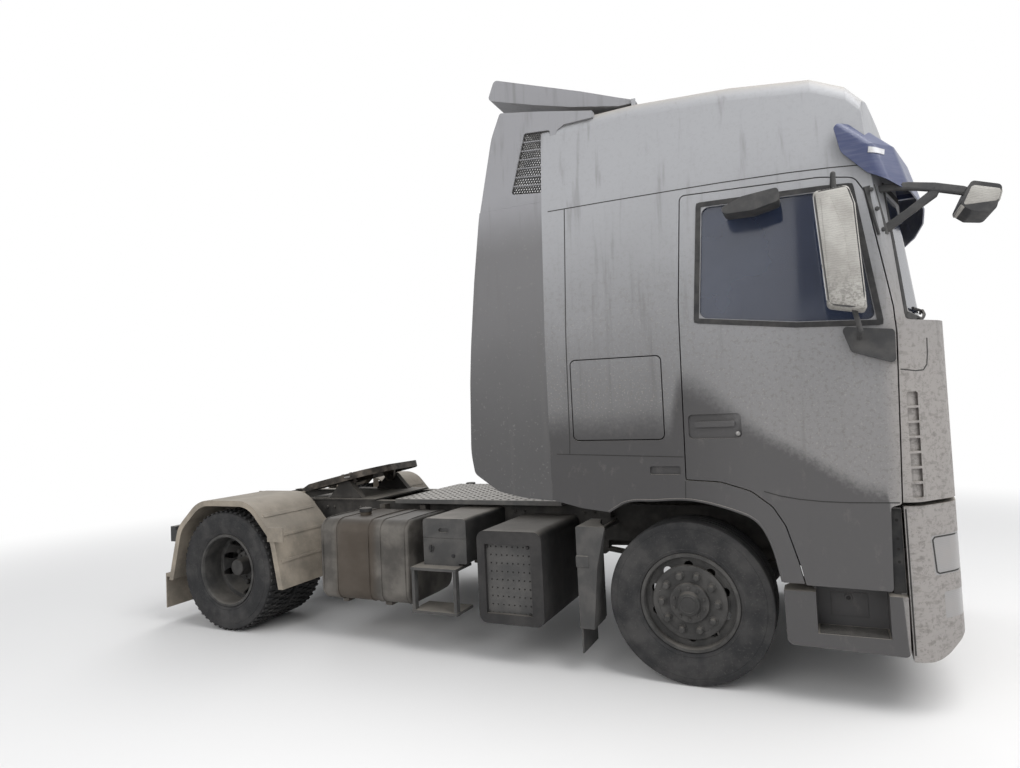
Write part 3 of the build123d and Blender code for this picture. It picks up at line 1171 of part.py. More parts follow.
def write_nodes():
    os.makedirs("parts", exist_ok=True)
    for name, shape in NODES.items():
        export_step(shape, f"parts/{name}.step")


def main():
    wheels()
    frame()
    front_axle()
    springs()
    rear_axle()
    engine()
    drive_line()
    fifth_wheel_base()
    fifth_wheel()
    catwalk()
    fuel_tanks()
    service_box()
    silencer_box()
    battery_box()
    rear_mudguards()
    tail_lamps()
    front_bumper()
    steps()
    wheel_strips()
    cab()
    cab_floor()
    side_deflectors()
    roof_deflector()
    sun_visor()
    seats_and_bunk()
    dashboard()
    steering_wheel()
    knuckles()
    mirrors()
    write_nodes()


main()
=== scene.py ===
import math

import bpy
from mathutils import Matrix, Vector


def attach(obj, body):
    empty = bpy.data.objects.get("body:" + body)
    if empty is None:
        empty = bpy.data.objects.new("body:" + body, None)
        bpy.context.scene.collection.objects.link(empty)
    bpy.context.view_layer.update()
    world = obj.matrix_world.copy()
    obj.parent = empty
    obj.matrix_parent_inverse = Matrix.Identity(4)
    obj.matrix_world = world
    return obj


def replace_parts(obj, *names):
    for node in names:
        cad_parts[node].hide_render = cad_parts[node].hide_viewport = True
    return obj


bl_info = {
    "name": "Tractor Unit Dresser",
    "version": (1, 0, 0),
    "blender": (4, 5, 0),
    "location": "3D View > Sidebar > Truck",
    "description": "Dresses the packed tractor unit with dusty finishes, treads, trim and small fittings",
    "category": "Object",
}

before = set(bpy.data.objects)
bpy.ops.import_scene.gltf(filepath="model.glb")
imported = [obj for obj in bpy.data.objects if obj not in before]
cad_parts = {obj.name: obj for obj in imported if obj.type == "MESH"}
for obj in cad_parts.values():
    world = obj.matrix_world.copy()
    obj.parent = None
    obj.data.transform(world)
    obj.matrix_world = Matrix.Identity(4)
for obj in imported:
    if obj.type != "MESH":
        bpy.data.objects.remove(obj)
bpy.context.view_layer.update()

# Row frame: metres, +X forward, +Y to the truck's left, floor at z = 0
AXLE_X = 1.432
WHEELBASE = 3.8
REAR_AXLE_X = AXLE_X - WHEELBASE
AXLE_Z = 0.5
FRONT_TYRE_Y = 1.030
TWIN_TYRES_Y = (1.088, 0.747)
SIDES = (("right", -1), ("left", 1))

# Radius at which a spun profile starts, so that its pole closes
POLE = 0.0001

# Planes in front of the cab and beside it, in millimetres, from which lines are pressed on its panels
AHEAD_X = 1750
OUTSIDE_Y = -1400


# Sizes and colours that a user would change


class StageSettings(bpy.types.PropertyGroup):
    floor_size: bpy.props.FloatProperty(
        name="Floor size", description="Length of the floor's side", default=90.0, subtype="DISTANCE")
    floor_colour: bpy.props.FloatVectorProperty(
        name="Floor", description="Pale floor colour", default=(0.74, 0.73, 0.72), subtype="COLOR")
    sky_level: bpy.props.FloatProperty(
        name="Sky level", description="Strength of the even light from all round", default=0.58)
    key_power: bpy.props.FloatProperty(
        name="Key lamp", description="Power of the large lamp over the cab's front", default=780.0,
        subtype="POWER")
    fill_power: bpy.props.FloatProperty(
        name="Fill lamp", description="Power of the lamp on the camera's side", default=270.0,
        subtype="POWER")
    lens: bpy.props.FloatProperty(
        name="Lens", description="Camera lens for a 36 mm sensor", default=23.725, subtype="DISTANCE_CAMERA")


class DirtSettings(bpy.types.PropertyGroup):
    paint: bpy.props.FloatVectorProperty(
        name="Paint", description="Cab paint under thin dust", default=(0.300, 0.302, 0.312), subtype="COLOR")
    dust: bpy.props.FloatVectorProperty(
        name="Dust", description="Dried dust on the cab's middle", default=(0.127, 0.125, 0.126),
        subtype="COLOR")
    mud: bpy.props.FloatVectorProperty(
        name="Mud", description="Road mud on the low panels", default=(0.080, 0.077, 0.077), subtype="COLOR")
    sand: bpy.props.FloatVectorProperty(
        name="Sand", description="Pale dust that lies on level faces", default=(0.32, 0.29, 0.25),
        subtype="COLOR")
    mud_line: bpy.props.FloatProperty(
        name="Mud line", description="Height where mud gives way to dust on the door", default=1.30,
        subtype="DISTANCE")


class TyreSettings(bpy.types.PropertyGroup):
    groove_depth: bpy.props.FloatProperty(
        name="Groove depth", description="Depth of the tread's grooves", default=0.013, subtype="DISTANCE")
    groove_width: bpy.props.FloatProperty(
        name="Groove width", description="Width of the tread's long grooves", default=0.011,
        subtype="DISTANCE")
    blocks: bpy.props.IntProperty(
        name="Blocks", description="Tread blocks round a rear tyre", default=56)


class TrimSettings(bpy.types.PropertyGroup):
    seam_width: bpy.props.FloatProperty(
        name="Seam width", description="Width of the dark panel seams", default=0.006, subtype="DISTANCE")
    rubber_width: bpy.props.FloatProperty(
        name="Window rubber", description="Width of the black band round the door glass", default=0.030,
        subtype="DISTANCE")


# Shader maths


class Value:
    """A socket of a finish that adds its Math nodes when it stands in an expression."""

    def __init__(self, finish, socket):
        self.finish = finish
        self.socket = socket

    def maths(self, operation, *others):
        return self.finish.node("ShaderNodeMath", {"operation": operation}, dict(enumerate((self, *others))))

    def __add__(self, other):
        return self.maths("ADD", other)

    def __mul__(self, other):
        return self.maths("MULTIPLY", other)

    def __sub__(self, other):
        return self.maths("SUBTRACT", other)

    def __rsub__(self, other):
        return self.finish.node("ShaderNodeMath", {"operation": "SUBTRACT"}, {0: other, 1: self})

    __radd__ = __add__
    __rmul__ = __mul__

    def ramp(self, low, high):
        """0 at low and 1 at high, smooth between them."""
        return self.finish.node(
            "ShaderNodeMapRange", {"interpolation_type": "SMOOTHSTEP"},
            {"Value": self, "From Min": low, "From Max": high})


class Finish:
    """One material: its node tree, its surface shader and the coordinates that its patterns read."""

    def __init__(self, name):
        self.material = bpy.data.materials.new(name)
        self.material.use_nodes = True
        self.tree = self.material.node_tree
        self.surface = self.tree.nodes["Principled BSDF"]
        coordinates = self.tree.nodes.new("ShaderNodeTexCoord")
        self.place = Value(self, coordinates.outputs["Object"])
        split = self.node("ShaderNodeSeparateXYZ", {}, {"Vector": self.place})
        self.x, self.y, self.z = [Value(self, split.socket.node.outputs[axis]) for axis in "XYZ"]
        normal = Value(self, coordinates.outputs["Normal"])
        facing = self.node("ShaderNodeSeparateXYZ", {}, {"Vector": normal})
        self.up = Value(self, facing.socket.node.outputs["Z"])

    def feed(self, socket, value):
        """Link a value to a socket, or set a plain one there."""
        if isinstance(value, Value):
            self.tree.links.new(value.socket, socket)
        else:
            socket.default_value = value

    def node(self, kind, settings, inputs, output=0):
        """Any node: its settings first, then the values or links of its sockets."""
        made = self.tree.nodes.new(kind)
        for name, setting in settings.items():
            setattr(made, name, setting)
        for name, value in inputs.items():
            self.feed(made.inputs[name], value)
        return Value(self, made.outputs[output])

    def noise(self, scale, detail=4.0, stretch=None, rough=0.55):
        """Cloudy patches, drawn out along the axes where stretch is small."""
        place = self.place
        if stretch:
            place = self.node("ShaderNodeMapping", {}, {"Vector": place, "Scale": stretch})
        return self.node("ShaderNodeTexNoise", {}, {
            "Vector": place, "Scale": scale, "Detail": detail, "Roughness": rough})

    def waves(self, way, scale, distortion, detail=2.0, detail_scale=1.0):
        """Soft bands that follow each other along one axis."""
        return self.node("ShaderNodeTexWave", {"bands_direction": way}, {
            "Vector": self.place, "Scale": scale, "Distortion": distortion, "Detail": detail,
            "Detail Scale": detail_scale}, output=1)

    def mix(self, factor, low, high):
        """Blend two colours."""
        colours = {index: colour if isinstance(colour, Value) else (*colour, 1.0)
                   for index, colour in ((6, low), (7, high))}
        return self.node("ShaderNodeMix", {"data_type": "RGBA"}, {0: factor, **colours}, output=2)

    def shine(self, **sockets):
        """Set or link the surface shader's own sockets."""
        for name, value in sockets.items():
            self.feed(self.surface.inputs[name.replace("_", " ")], value)
        return self

    def dents(self, height, strength, distance=0.002):
        """Fine relief from a height."""
        bump = self.node("ShaderNodeBump", {}, {"Height": height, "Strength": strength, "Distance": distance})
        return self.shine(Normal=bump)


def dirt():
    """The sizes and colours of the dirt."""
    return bpy.context.scene.truck_dirt


def dusty_paint(name="dusty_paint", shade=1.0):
    """Silver paint under dust: a mud wave low on the doors, flecked spray over it, runs of dried water."""
    finish = Finish(name)
    broad, fine, grain = finish.noise(1.1, 5.0), finish.noise(40.0, 5.0, rough=0.65), finish.noise(170.0, 2.0)
    streaks, scribble = finish.noise(1.0, 5.0, (19, 19, 0.8)), finish.noise(16.0, 6.0, (1.0, 1.0, 2.6))
    rearward, front = 1 - finish.x.ramp(1.25, 2.15), finish.x.ramp(2.52, 2.64)
    settled = (1 - (finish.z + broad * 0.6 - 0.3).ramp(1.50, 3.35)) * (rearward * 0.45 + 0.55)
    # shade darkens every colour below: painted shade, for copies of this paint on parts in shadow.
    coats = (dirt().paint, dirt().dust, dirt().mud)
    paint, dust, mud = [tuple(part * shade for part in colour) for colour in coats]
    base = finish.mix(settled + streaks.ramp(0.52, 0.78) * 0.22, paint, dust)
    sprayed = finish.mix((1 - finish.z.ramp(1.2, 2.7)) * (1 - rearward) * 0.5, base, (0.20, 0.187, 0.178))
    # The front corner below the roof turns pale and warm: partly pale dust, partly painted light, as the lit
    # front stands lighter than the side.
    dust_and_lit_front = finish.mix((1 - finish.z.ramp(1.6, 3.0)) * front, sprayed,
                      (0.300 * shade, 0.280 * shade, 0.266 * shade))
    wave = finish.x.ramp(1.38, 1.47) * (1 - finish.x.ramp(1.50, 2.45)) * 0.30
    line = rearward * 0.22 + wave - finish.x.ramp(2.1, 2.6) * 0.12 - front * 1.6 + dirt().mud_line
    height = finish.z + broad * 0.26 - 0.13 + fine * 0.16 - 0.08
    low = 1 - (height - line).ramp(-0.05, rearward * 0.14 + 0.07)
    near = (1 - finish.z.ramp(1.6, 3.0) * 0.85) * (1 - low)
    flecks = (fine * 0.75 + grain * 0.35).ramp(0.56, 0.66) * near * 0.50
    flecked = finish.mix(flecks, dust_and_lit_front, (0.140, 0.129, 0.119))
    dots = finish.noise(88.0, 3.0).ramp(0.57, 0.68) * near * 0.45
    spotted = finish.mix(dots, flecked, (0.31 * shade, 0.294 * shade, 0.272 * shade))
    wiped = scribble.ramp(0.53, 0.62) * front * (1 - finish.z.ramp(1.8, 2.3))
    marks = finish.mix(wiped * 0.45, spotted, (0.155, 0.144, 0.134))
    run = finish.mix(streaks.ramp(0.60, 0.72) * 0.20, marks, (0.14, 0.134, 0.13))
    soaked = finish.mix(1 - finish.x.ramp(1.3, 1.95), mud, tuple(part * 0.72 for part in mud))
    muddy = finish.mix(low * 0.96, run, soaked)
    cakes = (finish.noise(9.0, 6.0, (1.6, 1.6, 0.8)) + grain * 0.2).ramp(0.68, 0.80) * low * 0.22
    caked = finish.mix(cakes, muddy, (0.15, 0.140, 0.130))
    dusted = finish.mix(finish.up.ramp(0.35, 0.95) * (broad * 0.5 + 0.45), caked, tuple(dirt().sand))
    finish.shine(Base_Color=dusted, Roughness=0.48 + low * 0.30 + fine * 0.14, Metallic=0.16 - low * 0.16,
                 Specular_IOR_Level=0.35)
    return finish.dents(fine * 0.5 + grain * 0.4 + cakes, 0.25, 0.0018).material


def deflector_paint_and_shade():
    """The deflectors behind the cab: darker than the cab below the roof from road spray and painted shade,
    bright near the roof.
    """
    finish = Finish("deflector_paint_and_shade")
    broad, fine = finish.noise(1.4, 5.0), finish.noise(50.0, 4.0)
    streaks = finish.noise(1.0, 5.0, (17, 17, 0.9))
    # The dark greys below the roof are partly road spray and partly painted shade.
    high = (finish.z + broad * 0.3 - 0.15).ramp(2.75, 3.25)
    spray = finish.mix((finish.z + broad * 0.5 - 0.25).ramp(1.2, 2.7),
                       (0.074, 0.072, 0.072), (0.145, 0.142, 0.144))
    base = finish.mix(high, spray, (0.255, 0.253, 0.263))
    run = finish.mix(streaks.ramp(0.52, 0.72) * 0.35, base, (0.115, 0.110, 0.107))
    spotted = finish.mix(fine.ramp(0.60, 0.74) * 0.3, run, (0.25, 0.24, 0.23))
    finish.shine(Base_Color=finish.mix(finish.up.ramp(0.4, 0.95) * 0.7, spotted, tuple(dirt().sand)),
                 Roughness=0.62 + fine * 0.2, Specular_IOR_Level=0.35)
    return finish.dents(fine, 0.22, 0.0015).material


def mirror_mud():
    """Cream mud in fine upright ripples over a mirror's housing."""
    finish = Finish("mirror_mud")
    ripples = finish.waves("Z", 26.0, 6.0, 3.0, 2.0)
    fine, patches = finish.noise(70.0, 4.0), finish.noise(8.0, 5.0)
    cream = finish.mix(patches.ramp(0.35, 0.7), (0.43, 0.415, 0.385), (0.33, 0.315, 0.29))
    dark = (1 - finish.z.ramp(2.15, 2.45)) * fine.ramp(0.45, 0.6) * 0.55 + ripples.ramp(0.6, 0.9) * 0.16
    finish.shine(Base_Color=finish.mix(dark, cream, (0.13, 0.122, 0.112)), Roughness=0.86,
                 Specular_IOR_Level=0.3)
    return finish.dents(ripples * 0.6 + fine * 0.4, 0.35, 0.002).material


def dusty(name, base, dust, scale=7.0, rough=0.72, metal=0.0, lie=0.75, grain=0.35):
    """A plain finish under uneven dust that lies thicker on level faces."""
    finish = Finish(name)
    patches, fine = finish.noise(scale, 6.0), finish.noise(scale * 14, 3.0)
    cover = patches.ramp(0.36, 0.68) * 0.62 + fine.ramp(0.5, 0.8) * 0.2
    coat = finish.mix(cover, base, dust)
    level = finish.up.ramp(0.45, 0.95) * (patches * 0.5 + 0.5) * lie
    finish.shine(Base_Color=finish.mix(level, coat, tuple(dirt().sand)), Roughness=rough + fine * 0.2 - 0.05,
                 Metallic=metal - cover * metal * 0.8, Specular_IOR_Level=0.35)
    return finish.dents(fine, grain, 0.0015).material


def tyre_rubber():
    """Dry black rubber with mud caked in its grooves and dust on its walls."""
    finish = Finish("tyre_rubber")
    patches, fine = finish.noise(6.0, 6.0), finish.noise(90.0, 3.0)
    rubber = finish.mix(patches.ramp(0.35, 0.7), (0.024, 0.024, 0.025), (0.054, 0.052, 0.051))
    coat = finish.mix(fine.ramp(0.55, 0.75) * 0.30, rubber, (0.105, 0.099, 0.092))
    finish.shine(Base_Color=coat, Roughness=0.78 + fine * 0.15, Specular_IOR_Level=0.25)
    return finish.dents(fine, 0.4, 0.0015).material


def tank_metal():
    """Dull alloy with a brown run of spilt fuel below the filler."""
    finish = Finish("tank_metal")
    patches, fine = finish.noise(5.0, 6.0), finish.noise(80.0, 3.0)
    streaks = finish.noise(1.0, 4.0, (22, 3, 1.2))
    base = finish.mix(patches.ramp(0.35, 0.7), (0.060, 0.055, 0.049), (0.145, 0.133, 0.118))
    behind = (finish.x + streaks * 0.16).ramp(-1.24, -1.14)
    ahead = (finish.x - streaks * 0.16).ramp(-1.06, -0.93)
    middle = behind * (1 - ahead)
    stained = finish.mix(middle * 0.75, base, (0.058, 0.043, 0.030))
    level = finish.up.ramp(0.45, 0.95) * 0.55
    finish.shine(Base_Color=finish.mix(level, stained, (0.055, 0.049, 0.043)), Roughness=0.5 + patches * 0.3,
                 Metallic=0.35 - patches * 0.3, Specular_IOR_Level=0.4)
    return finish.dents(fine, 0.25, 0.0015).material


def pane(name, tint, alpha, film_colour, rough=0.05, stretch=(1, 1, 1)):
    """Thin glass or clear plastic under a film of dust."""
    finish = Finish(name)
    film = finish.noise(2.2, 5.0, stretch)
    cover = film.ramp(0.35, 0.75) * 0.45
    finish.shine(Base_Color=finish.mix(cover, tint, film_colour), Roughness=rough + cover * 0.35,
                 Alpha=alpha + cover * 0.15, IOR=1.5, Coat_Weight=0.05, Specular_IOR_Level=0.3)
    return finish.material


def woven():
    """Dark seat cloth with a small cross weave."""
    finish = Finish("seat_weave")
    weave = finish.waves("Y", 140.0, 0.6) * finish.waves("Z", 140.0, 0.6)
    cloth = finish.mix(weave * 0.6 + finish.noise(9.0) * 0.3, (0.035, 0.036, 0.04), (0.085, 0.085, 0.09))
    finish.shine(Base_Color=cloth, Roughness=0.9, Sheen_Weight=0.3)
    return finish.dents(weave, 0.5, 0.001).material


def lamp_glass():
    """Clear lamp cover that shows a fluted bowl through dust."""
    finish = Finish("lamp_cover")
    flutes = finish.waves("Z", 34.0, 0.2)
    film = finish.noise(9.0, 4.0)
    base = finish.mix(flutes * 0.2, (0.25, 0.242, 0.238), (0.36, 0.355, 0.35))
    finish.shine(Base_Color=finish.mix(film.ramp(0.35, 0.7) * 0.8, base, (0.285, 0.268, 0.258)),
                 Roughness=0.16 + film * 0.4, Metallic=0.15, Coat_Weight=0.4)
    return finish.dents(flutes, 0.15, 0.001).material


def seam_shadow():
    """The dark of a gap between panels."""
    finish = Finish("seam_shadow")
    dark = finish.mix(finish.noise(20.0), (0.010, 0.010, 0.010), (0.045, 0.042, 0.040))
    return finish.shine(Base_Color=dark, Roughness=0.9).material


def mirror_glass():
    """Silvered glass, clouded by dust."""
    finish = Finish("mirror_glass")
    silver = finish.mix(finish.noise(5.0).ramp(0.35, 0.8) * 0.5, (0.62, 0.63, 0.65), (0.30, 0.28, 0.26))
    rough = 0.06 + finish.noise(6.0).ramp(0.4, 0.8) * 0.4
    return finish.shine(Base_Color=silver, Roughness=rough, Metallic=1.0).material


def paint_table():
    """Each finish with the CAD nodes that carry it. New pieces alone carry the ones with none."""
    soot, brown = (0.085, 0.078, 0.070), (0.115, 0.104, 0.092)
    iron = dusty("chassis_iron", (0.030, 0.028, 0.026), soot)
    steel = dusty("wheel_paint", (0.036, 0.035, 0.034), (0.088, 0.084, 0.079), 9.0, 0.7, 0.1, 0.3)
    alloy = dusty("dull_alloy", (0.10, 0.098, 0.095), (0.17, 0.16, 0.148), 8.0, 0.5, 0.35, 0.6)
    dark = dusty("dark_moulding", (0.035, 0.035, 0.036), (0.085, 0.081, 0.077), 10.0, 0.65, 0.0, 0.35)
    shade = dusty("silencer_skin", (0.024, 0.023, 0.023), (0.047, 0.044, 0.042), 7.0, 0.7, 0.1, 0.35)
    box = dusty("grey_box", (0.052, 0.051, 0.050), (0.098, 0.093, 0.088), 8.0, 0.7, 0.0, 0.7)
    guard = dusty("guard_plastic", (0.21, 0.185, 0.152), (0.42, 0.362, 0.290), 4.0, 0.8, 0.0, 0.7)
    greasy = dusty("greasy_plate", (0.040, 0.036, 0.032), (0.16, 0.135, 0.11), 12.0, 0.42, 0.6, 0.25)
    return {
        dusty_paint(): ("cab_shell", "cab_back_wall", "roof_cap", "front_bumper", "front_lid", "door_left",
                        "door_right", "locker_lid_left", "locker_lid_right"),
        # The steps carry this paint 10 % darker, as painted shade.
        dusty_paint("step_paint_shaded", 0.9): ("steps",),
        deflector_paint_and_shade(): ("side_deflectors", "roof_deflector"),
        tyre_rubber(): ("tyre_front_left", "tyre_front_right", "tyres_rear_left", "tyres_rear_right"),
        steel: ("rim_front_left", "rim_front_right", "rims_rear_left", "rims_rear_right"),
        iron: ("frame", "front_axle", "springs", "rear_axle", "engine", "drive_line", "fifth_wheel_base",
               "knuckle_left", "knuckle_right", "track_rod", "cab_floor"),
        alloy: ("catwalk",),
        shade: ("silencer_box",),
        tank_metal(): ("fuel_tanks",),
        box: ("service_box", "battery_box", "front_flaps"),
        guard: ("rear_mudguards",),
        greasy: ("fifth_wheel",),
        dark: ("dashboard", "steering_wheel", "mirror_left", "mirror_right", "front_mirror", "tail_lamps"),
        mirror_mud(): (),
        pane("window_glass", (0.020, 0.027, 0.050), 0.86, (0.058, 0.066, 0.092)): (
            "door_glass_left", "door_glass_right", "windscreen"),
        pane("visor_tint", (0.050, 0.062, 0.130), 0.90, (0.125, 0.132, 0.185), 0.30, (2.5, 2.5, 26)): (
            "sun_visor",),
        lamp_glass(): ("headlamps",),
        dusty("lamp_red", (0.17, 0.022, 0.015), brown, 8.0, 0.4, 0.0, 0.5, 0.1): (),
        woven(): ("seats",),
        dusty("black_rubber", (0.018, 0.018, 0.019), (0.06, 0.057, 0.054), 12.0, 0.7, 0.0, 0.3): (),
        dusty("worn_steel", (0.22, 0.215, 0.21), (0.16, 0.15, 0.14), 30.0, 0.42, 0.8, 0.3): (),
        seam_shadow(): (),
        mirror_glass(): (),
        dusty("lamp_amber", (0.42, 0.16, 0.02), (0.16, 0.12, 0.08), 12.0, 0.35, 0.0, 0.3, 0.1): (),
        dusty("lamp_clear", (0.52, 0.52, 0.54), (0.30, 0.29, 0.27), 14.0, 0.25, 0.0, 0.3, 0.1): (),
        dusty("plate_blank", (0.42, 0.42, 0.41), (0.19, 0.18, 0.165), 11.0, 0.6, 0.0, 0.3, 0.2): (),
    }


# Each finish under its name, filled in by the finishes' operator
FINISH_OF = {}


class TRUCK_OT_finishes(bpy.types.Operator):
    """Give every CAD node its own weathered finish"""

    bl_idname = "truck.finishes"
    bl_label = "Weathered Finishes"

    def execute(self, context):
        for material, names in paint_table().items():
            FINISH_OF[material.name] = material
            for name in names:
                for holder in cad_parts[name].material_slots:
                    holder.material = material
        return {"FINISHED"}


# Modelling helpers


def deselect():
    """Leave edit mode and select nothing."""
    if bpy.context.object and bpy.context.object.mode != "OBJECT":
        bpy.ops.object.mode_set(mode="OBJECT")
    bpy.ops.object.select_all(action="DESELECT")


def take(piece):
    """Select one piece and make it the active one."""
    deselect()
    piece.select_set(True)
    bpy.context.view_layer.objects.active = piece


def named(name):
    """The primitive just added, under its piece's name."""
    piece = bpy.context.object
    piece.name = piece.data.name = name
    return piece


def apply_all(piece):
    """Apply a piece's modifiers."""
    take(piece)
    for modifier in list(piece.modifiers):
        bpy.ops.object.modifier_apply(modifier=modifier.name)


def edit_all():
    """Enter edit mode with the whole mesh selected."""
    bpy.ops.object.mode_set(mode="EDIT")
    bpy.ops.mesh.select_all(action="SELECT")


def tidy(piece, gap=0.00002):
    """Merge doubles and point the faces outwards."""
    take(piece)
    edit_all()
    bpy.ops.mesh.remove_doubles(threshold=gap)
    bpy.ops.mesh.normals_make_consistent(inside=False)
    bpy.ops.object.mode_set(mode="OBJECT")
    return piece


def bevelled(piece, width, segments=2, angle=35):
    """Round a piece's sharp edges."""
    bevel = piece.modifiers.new("round", "BEVEL")
    bevel.width, bevel.segments, bevel.limit_method = width, segments, "ANGLE"
    bevel.angle_limit = math.radians(angle)
    apply_all(piece)
    return piece


def reshape(piece, points):
    """Move a primitive's points, in their own order, to new places."""
    for vertex, point in zip(piece.data.vertices, points):
        vertex.co = point
    piece.data.update()


def plate(name, points, depth, round_edges=0.0):
    """A flat outline of 3-D points pushed out by a depth vector."""
    deselect()
    bpy.ops.mesh.primitive_circle_add(vertices=len(points), fill_type="NGON")
    piece = named(name)
    reshape(piece, points)
    edit_all()
    bpy.ops.mesh.extrude_region_move(TRANSFORM_OT_translate={"value": depth})
    bpy.ops.object.mode_set(mode="OBJECT")
    tidy(piece)
    return bevelled(piece, round_edges) if round_edges else piece


def slab(name, low, high, round_edges=0.003, segments=2):
    """A rounded box between two corners."""
    deselect()
    middle = [(a + b) / 2 for a, b in zip(low, high)]
    bpy.ops.mesh.primitive_cube_add(size=1, location=middle, scale=[b - a for a, b in zip(low, high)])
    piece = named(name)
    bpy.ops.object.transform_apply(location=True, rotation=True, scale=True)
    edit_all()
    bpy.ops.mesh.bevel(offset=round_edges, segments=segments, affect="EDGES")
    bpy.ops.object.mode_set(mode="OBJECT")
    return piece


def lathe(name, profile, centre, steps=64):
    """Spin a closed profile of (y, radius) about an axle along Y."""
    deselect()
    bpy.ops.mesh.primitive_circle_add(vertices=len(profile), fill_type="NOTHING")
    piece = named(name)
    reshape(piece, [(centre[0], centre[1] + y, centre[2] + radius) for y, radius in profile])
    edit_all()
    bpy.ops.mesh.spin(steps=steps, angle=2 * math.pi, center=centre, axis=(0, 1, 0))
    bpy.ops.object.mode_set(mode="OBJECT")
    return tidy(piece)


def tube(name, points, radius, smooth=True, sides=3):
    """A round bar or hose through points."""
    deselect()
    bpy.ops.curve.primitive_bezier_curve_add()
    piece = named(name)
    line = piece.data.splines[0]
    line.bezier_points.add(len(points) - 2)
    for knot, point in zip(line.bezier_points, points):
        knot.co = point
        knot.handle_left_type = knot.handle_right_type = "AUTO" if smooth else "VECTOR"
    piece.data.bevel_depth, piece.data.bevel_resolution, piece.data.use_fill_caps = radius, sides, True
    piece.data.resolution_u = 8 if smooth else 1
    piece.location = (0, 0, 0)
    take(piece)
    bpy.ops.object.convert(target="MESH")
    return tidy(bpy.context.object)


def copied(piece, places, name=None):
    """One piece of copies of a shape, each moved by a matrix, with the shape itself left out."""
    made = []
    for place in places:
        twin = piece.copy()
        twin.data = piece.data.copy()
        twin.data.transform(place)
        if place.determinant() < 0:
            twin.data.flip_normals()
        bpy.context.scene.collection.objects.link(twin)
        made.append(twin)
    bpy.data.objects.remove(piece)
    return joined(made, name)


def joined(pieces, name=None):
    """Join pieces into the first of them."""
    deselect()
    for piece in pieces:
        piece.select_set(True)
    bpy.context.view_layer.objects.active = pieces[0]
    if len(pieces) > 1:
        bpy.ops.object.join()
    if name:
        pieces[0].name = pieces[0].data.name = name
    return pieces[0]


def mirrored(piece, name):
    """The same shape on the other side of the truck."""
    twin = piece.copy()
    twin.data = piece.data.copy()
    twin.data.transform(Matrix.Diagonal((1, -1, 1, 1)))
    twin.data.flip_normals()
    bpy.context.scene.collection.objects.link(twin)
    twin.name = twin.data.name = name
    return twin


def fitted(piece, finish, body, smooth=30):
    """Finish a piece: its material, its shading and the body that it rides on."""
    take(piece)
    bpy.ops.object.transform_apply(location=True, rotation=True, scale=True)
    if smooth:
        bpy.ops.object.shade_smooth_by_angle(angle=math.radians(smooth))
    piece.data.materials.clear()
    piece.data.materials.append(FINISH_OF[finish])
    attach(piece, body)
    return piece


def both_fitted(piece, name, finish, body, smooth=30):
    """Fit a right-hand piece and its left-hand twin. The body may hold {side}."""
    twin = mirrored(piece, f"{name}_left")
    piece.name = piece.data.name = f"{name}_right"
    for one, side in ((piece, "right"), (twin, "left")):
        fitted(one, finish, body.format(side=side), smooth)


def at(x, y, z):
    """A point given from the front axle in millimetres, in the row frame."""
    return Vector((AXLE_X + x / 1000, y / 1000, z / 1000))


def on_side(y, points):
    """Points (x, z) on an upright plane along the truck."""
    return [at(x, y, z) for x, z in points]


def laid_on(piece, node, offset, direction=(0, 1, 0)):
    """Press a piece's points on a CAD node's face, along a direction, and lift them by an offset."""
    wrap = piece.modifiers.new("lay", "SHRINKWRAP")
    wrap.target, wrap.wrap_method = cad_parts[node], "PROJECT"
    wrap.use_project_x, wrap.use_project_y, wrap.use_project_z = [abs(part) > 0.5 for part in direction]
    wrap.use_positive_direction, wrap.use_negative_direction = sum(direction) > 0, sum(direction) < 0
    wrap.offset = offset
    apply_all(piece)
    return piece


def dense(points, closed, step=0.012):
    """Points set closely along a line, for a strip that follows a curved panel."""
    ring = list(points) + ([points[0]] if closed else [])
    made = []
    for a, b in zip(ring, ring[1:]):
        count = max(1, round((b - a).length / step))
        made.extend(a.lerp(b, i / count) for i in range(count))
    if not closed:
        made.append(ring[-1])
    return made


def strip(name, points, width, node, lift, thick, closed=False, direction=(0, 1, 0)):
    """A narrow band on a panel: a ribbon along points, pressed on the panel and given a thickness."""
    line = dense([Vector(p) for p in points], closed)
    along = Vector(direction)
    inner, outer = [], []
    for i, point in enumerate(line):
        before = line[i - 1] if closed or i else line[i]
        after = line[(i + 1) % len(line)] if closed or i < len(line) - 1 else line[i]
        sideways = along.cross(after - before).normalized() * (width / 2)
        inner.append(point - sideways)
        outer.append(point + sideways)
    deselect()
    bpy.ops.mesh.primitive_grid_add(x_subdivisions=1, y_subdivisions=len(line) - (0 if closed else 1), size=1)
    piece = named(name)
    rows = [corner for pair in zip(inner, outer) for corner in pair]
    if closed:
        rows.extend(rows[:2])
    order = sorted(range(len(piece.data.vertices)), key=lambda i: (
        round(piece.data.vertices[i].co.y, 5), round(piece.data.vertices[i].co.x, 5)))
    for index, corner in zip(order, rows):
        piece.data.vertices[index].co = corner
    tidy(piece, gap=0.0001)
    if piece.data.polygons[0].normal.dot(along) > 0:
        piece.data.flip_normals()
    laid_on(piece, node, lift, direction)
    solid = piece.modifiers.new("wall", "SOLIDIFY")
    solid.thickness, solid.offset = thick, -1.0
    apply_all(piece)
    return tidy(piece)


def hit(node, start, way):
    """Where a line from a point first meets a CAD node."""
    found, place, _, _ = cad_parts[node].ray_cast(Vector(start), Vector(way))
    if not found:
        raise RuntimeError(f"no face of {node} lies before {tuple(start)}")
    return place


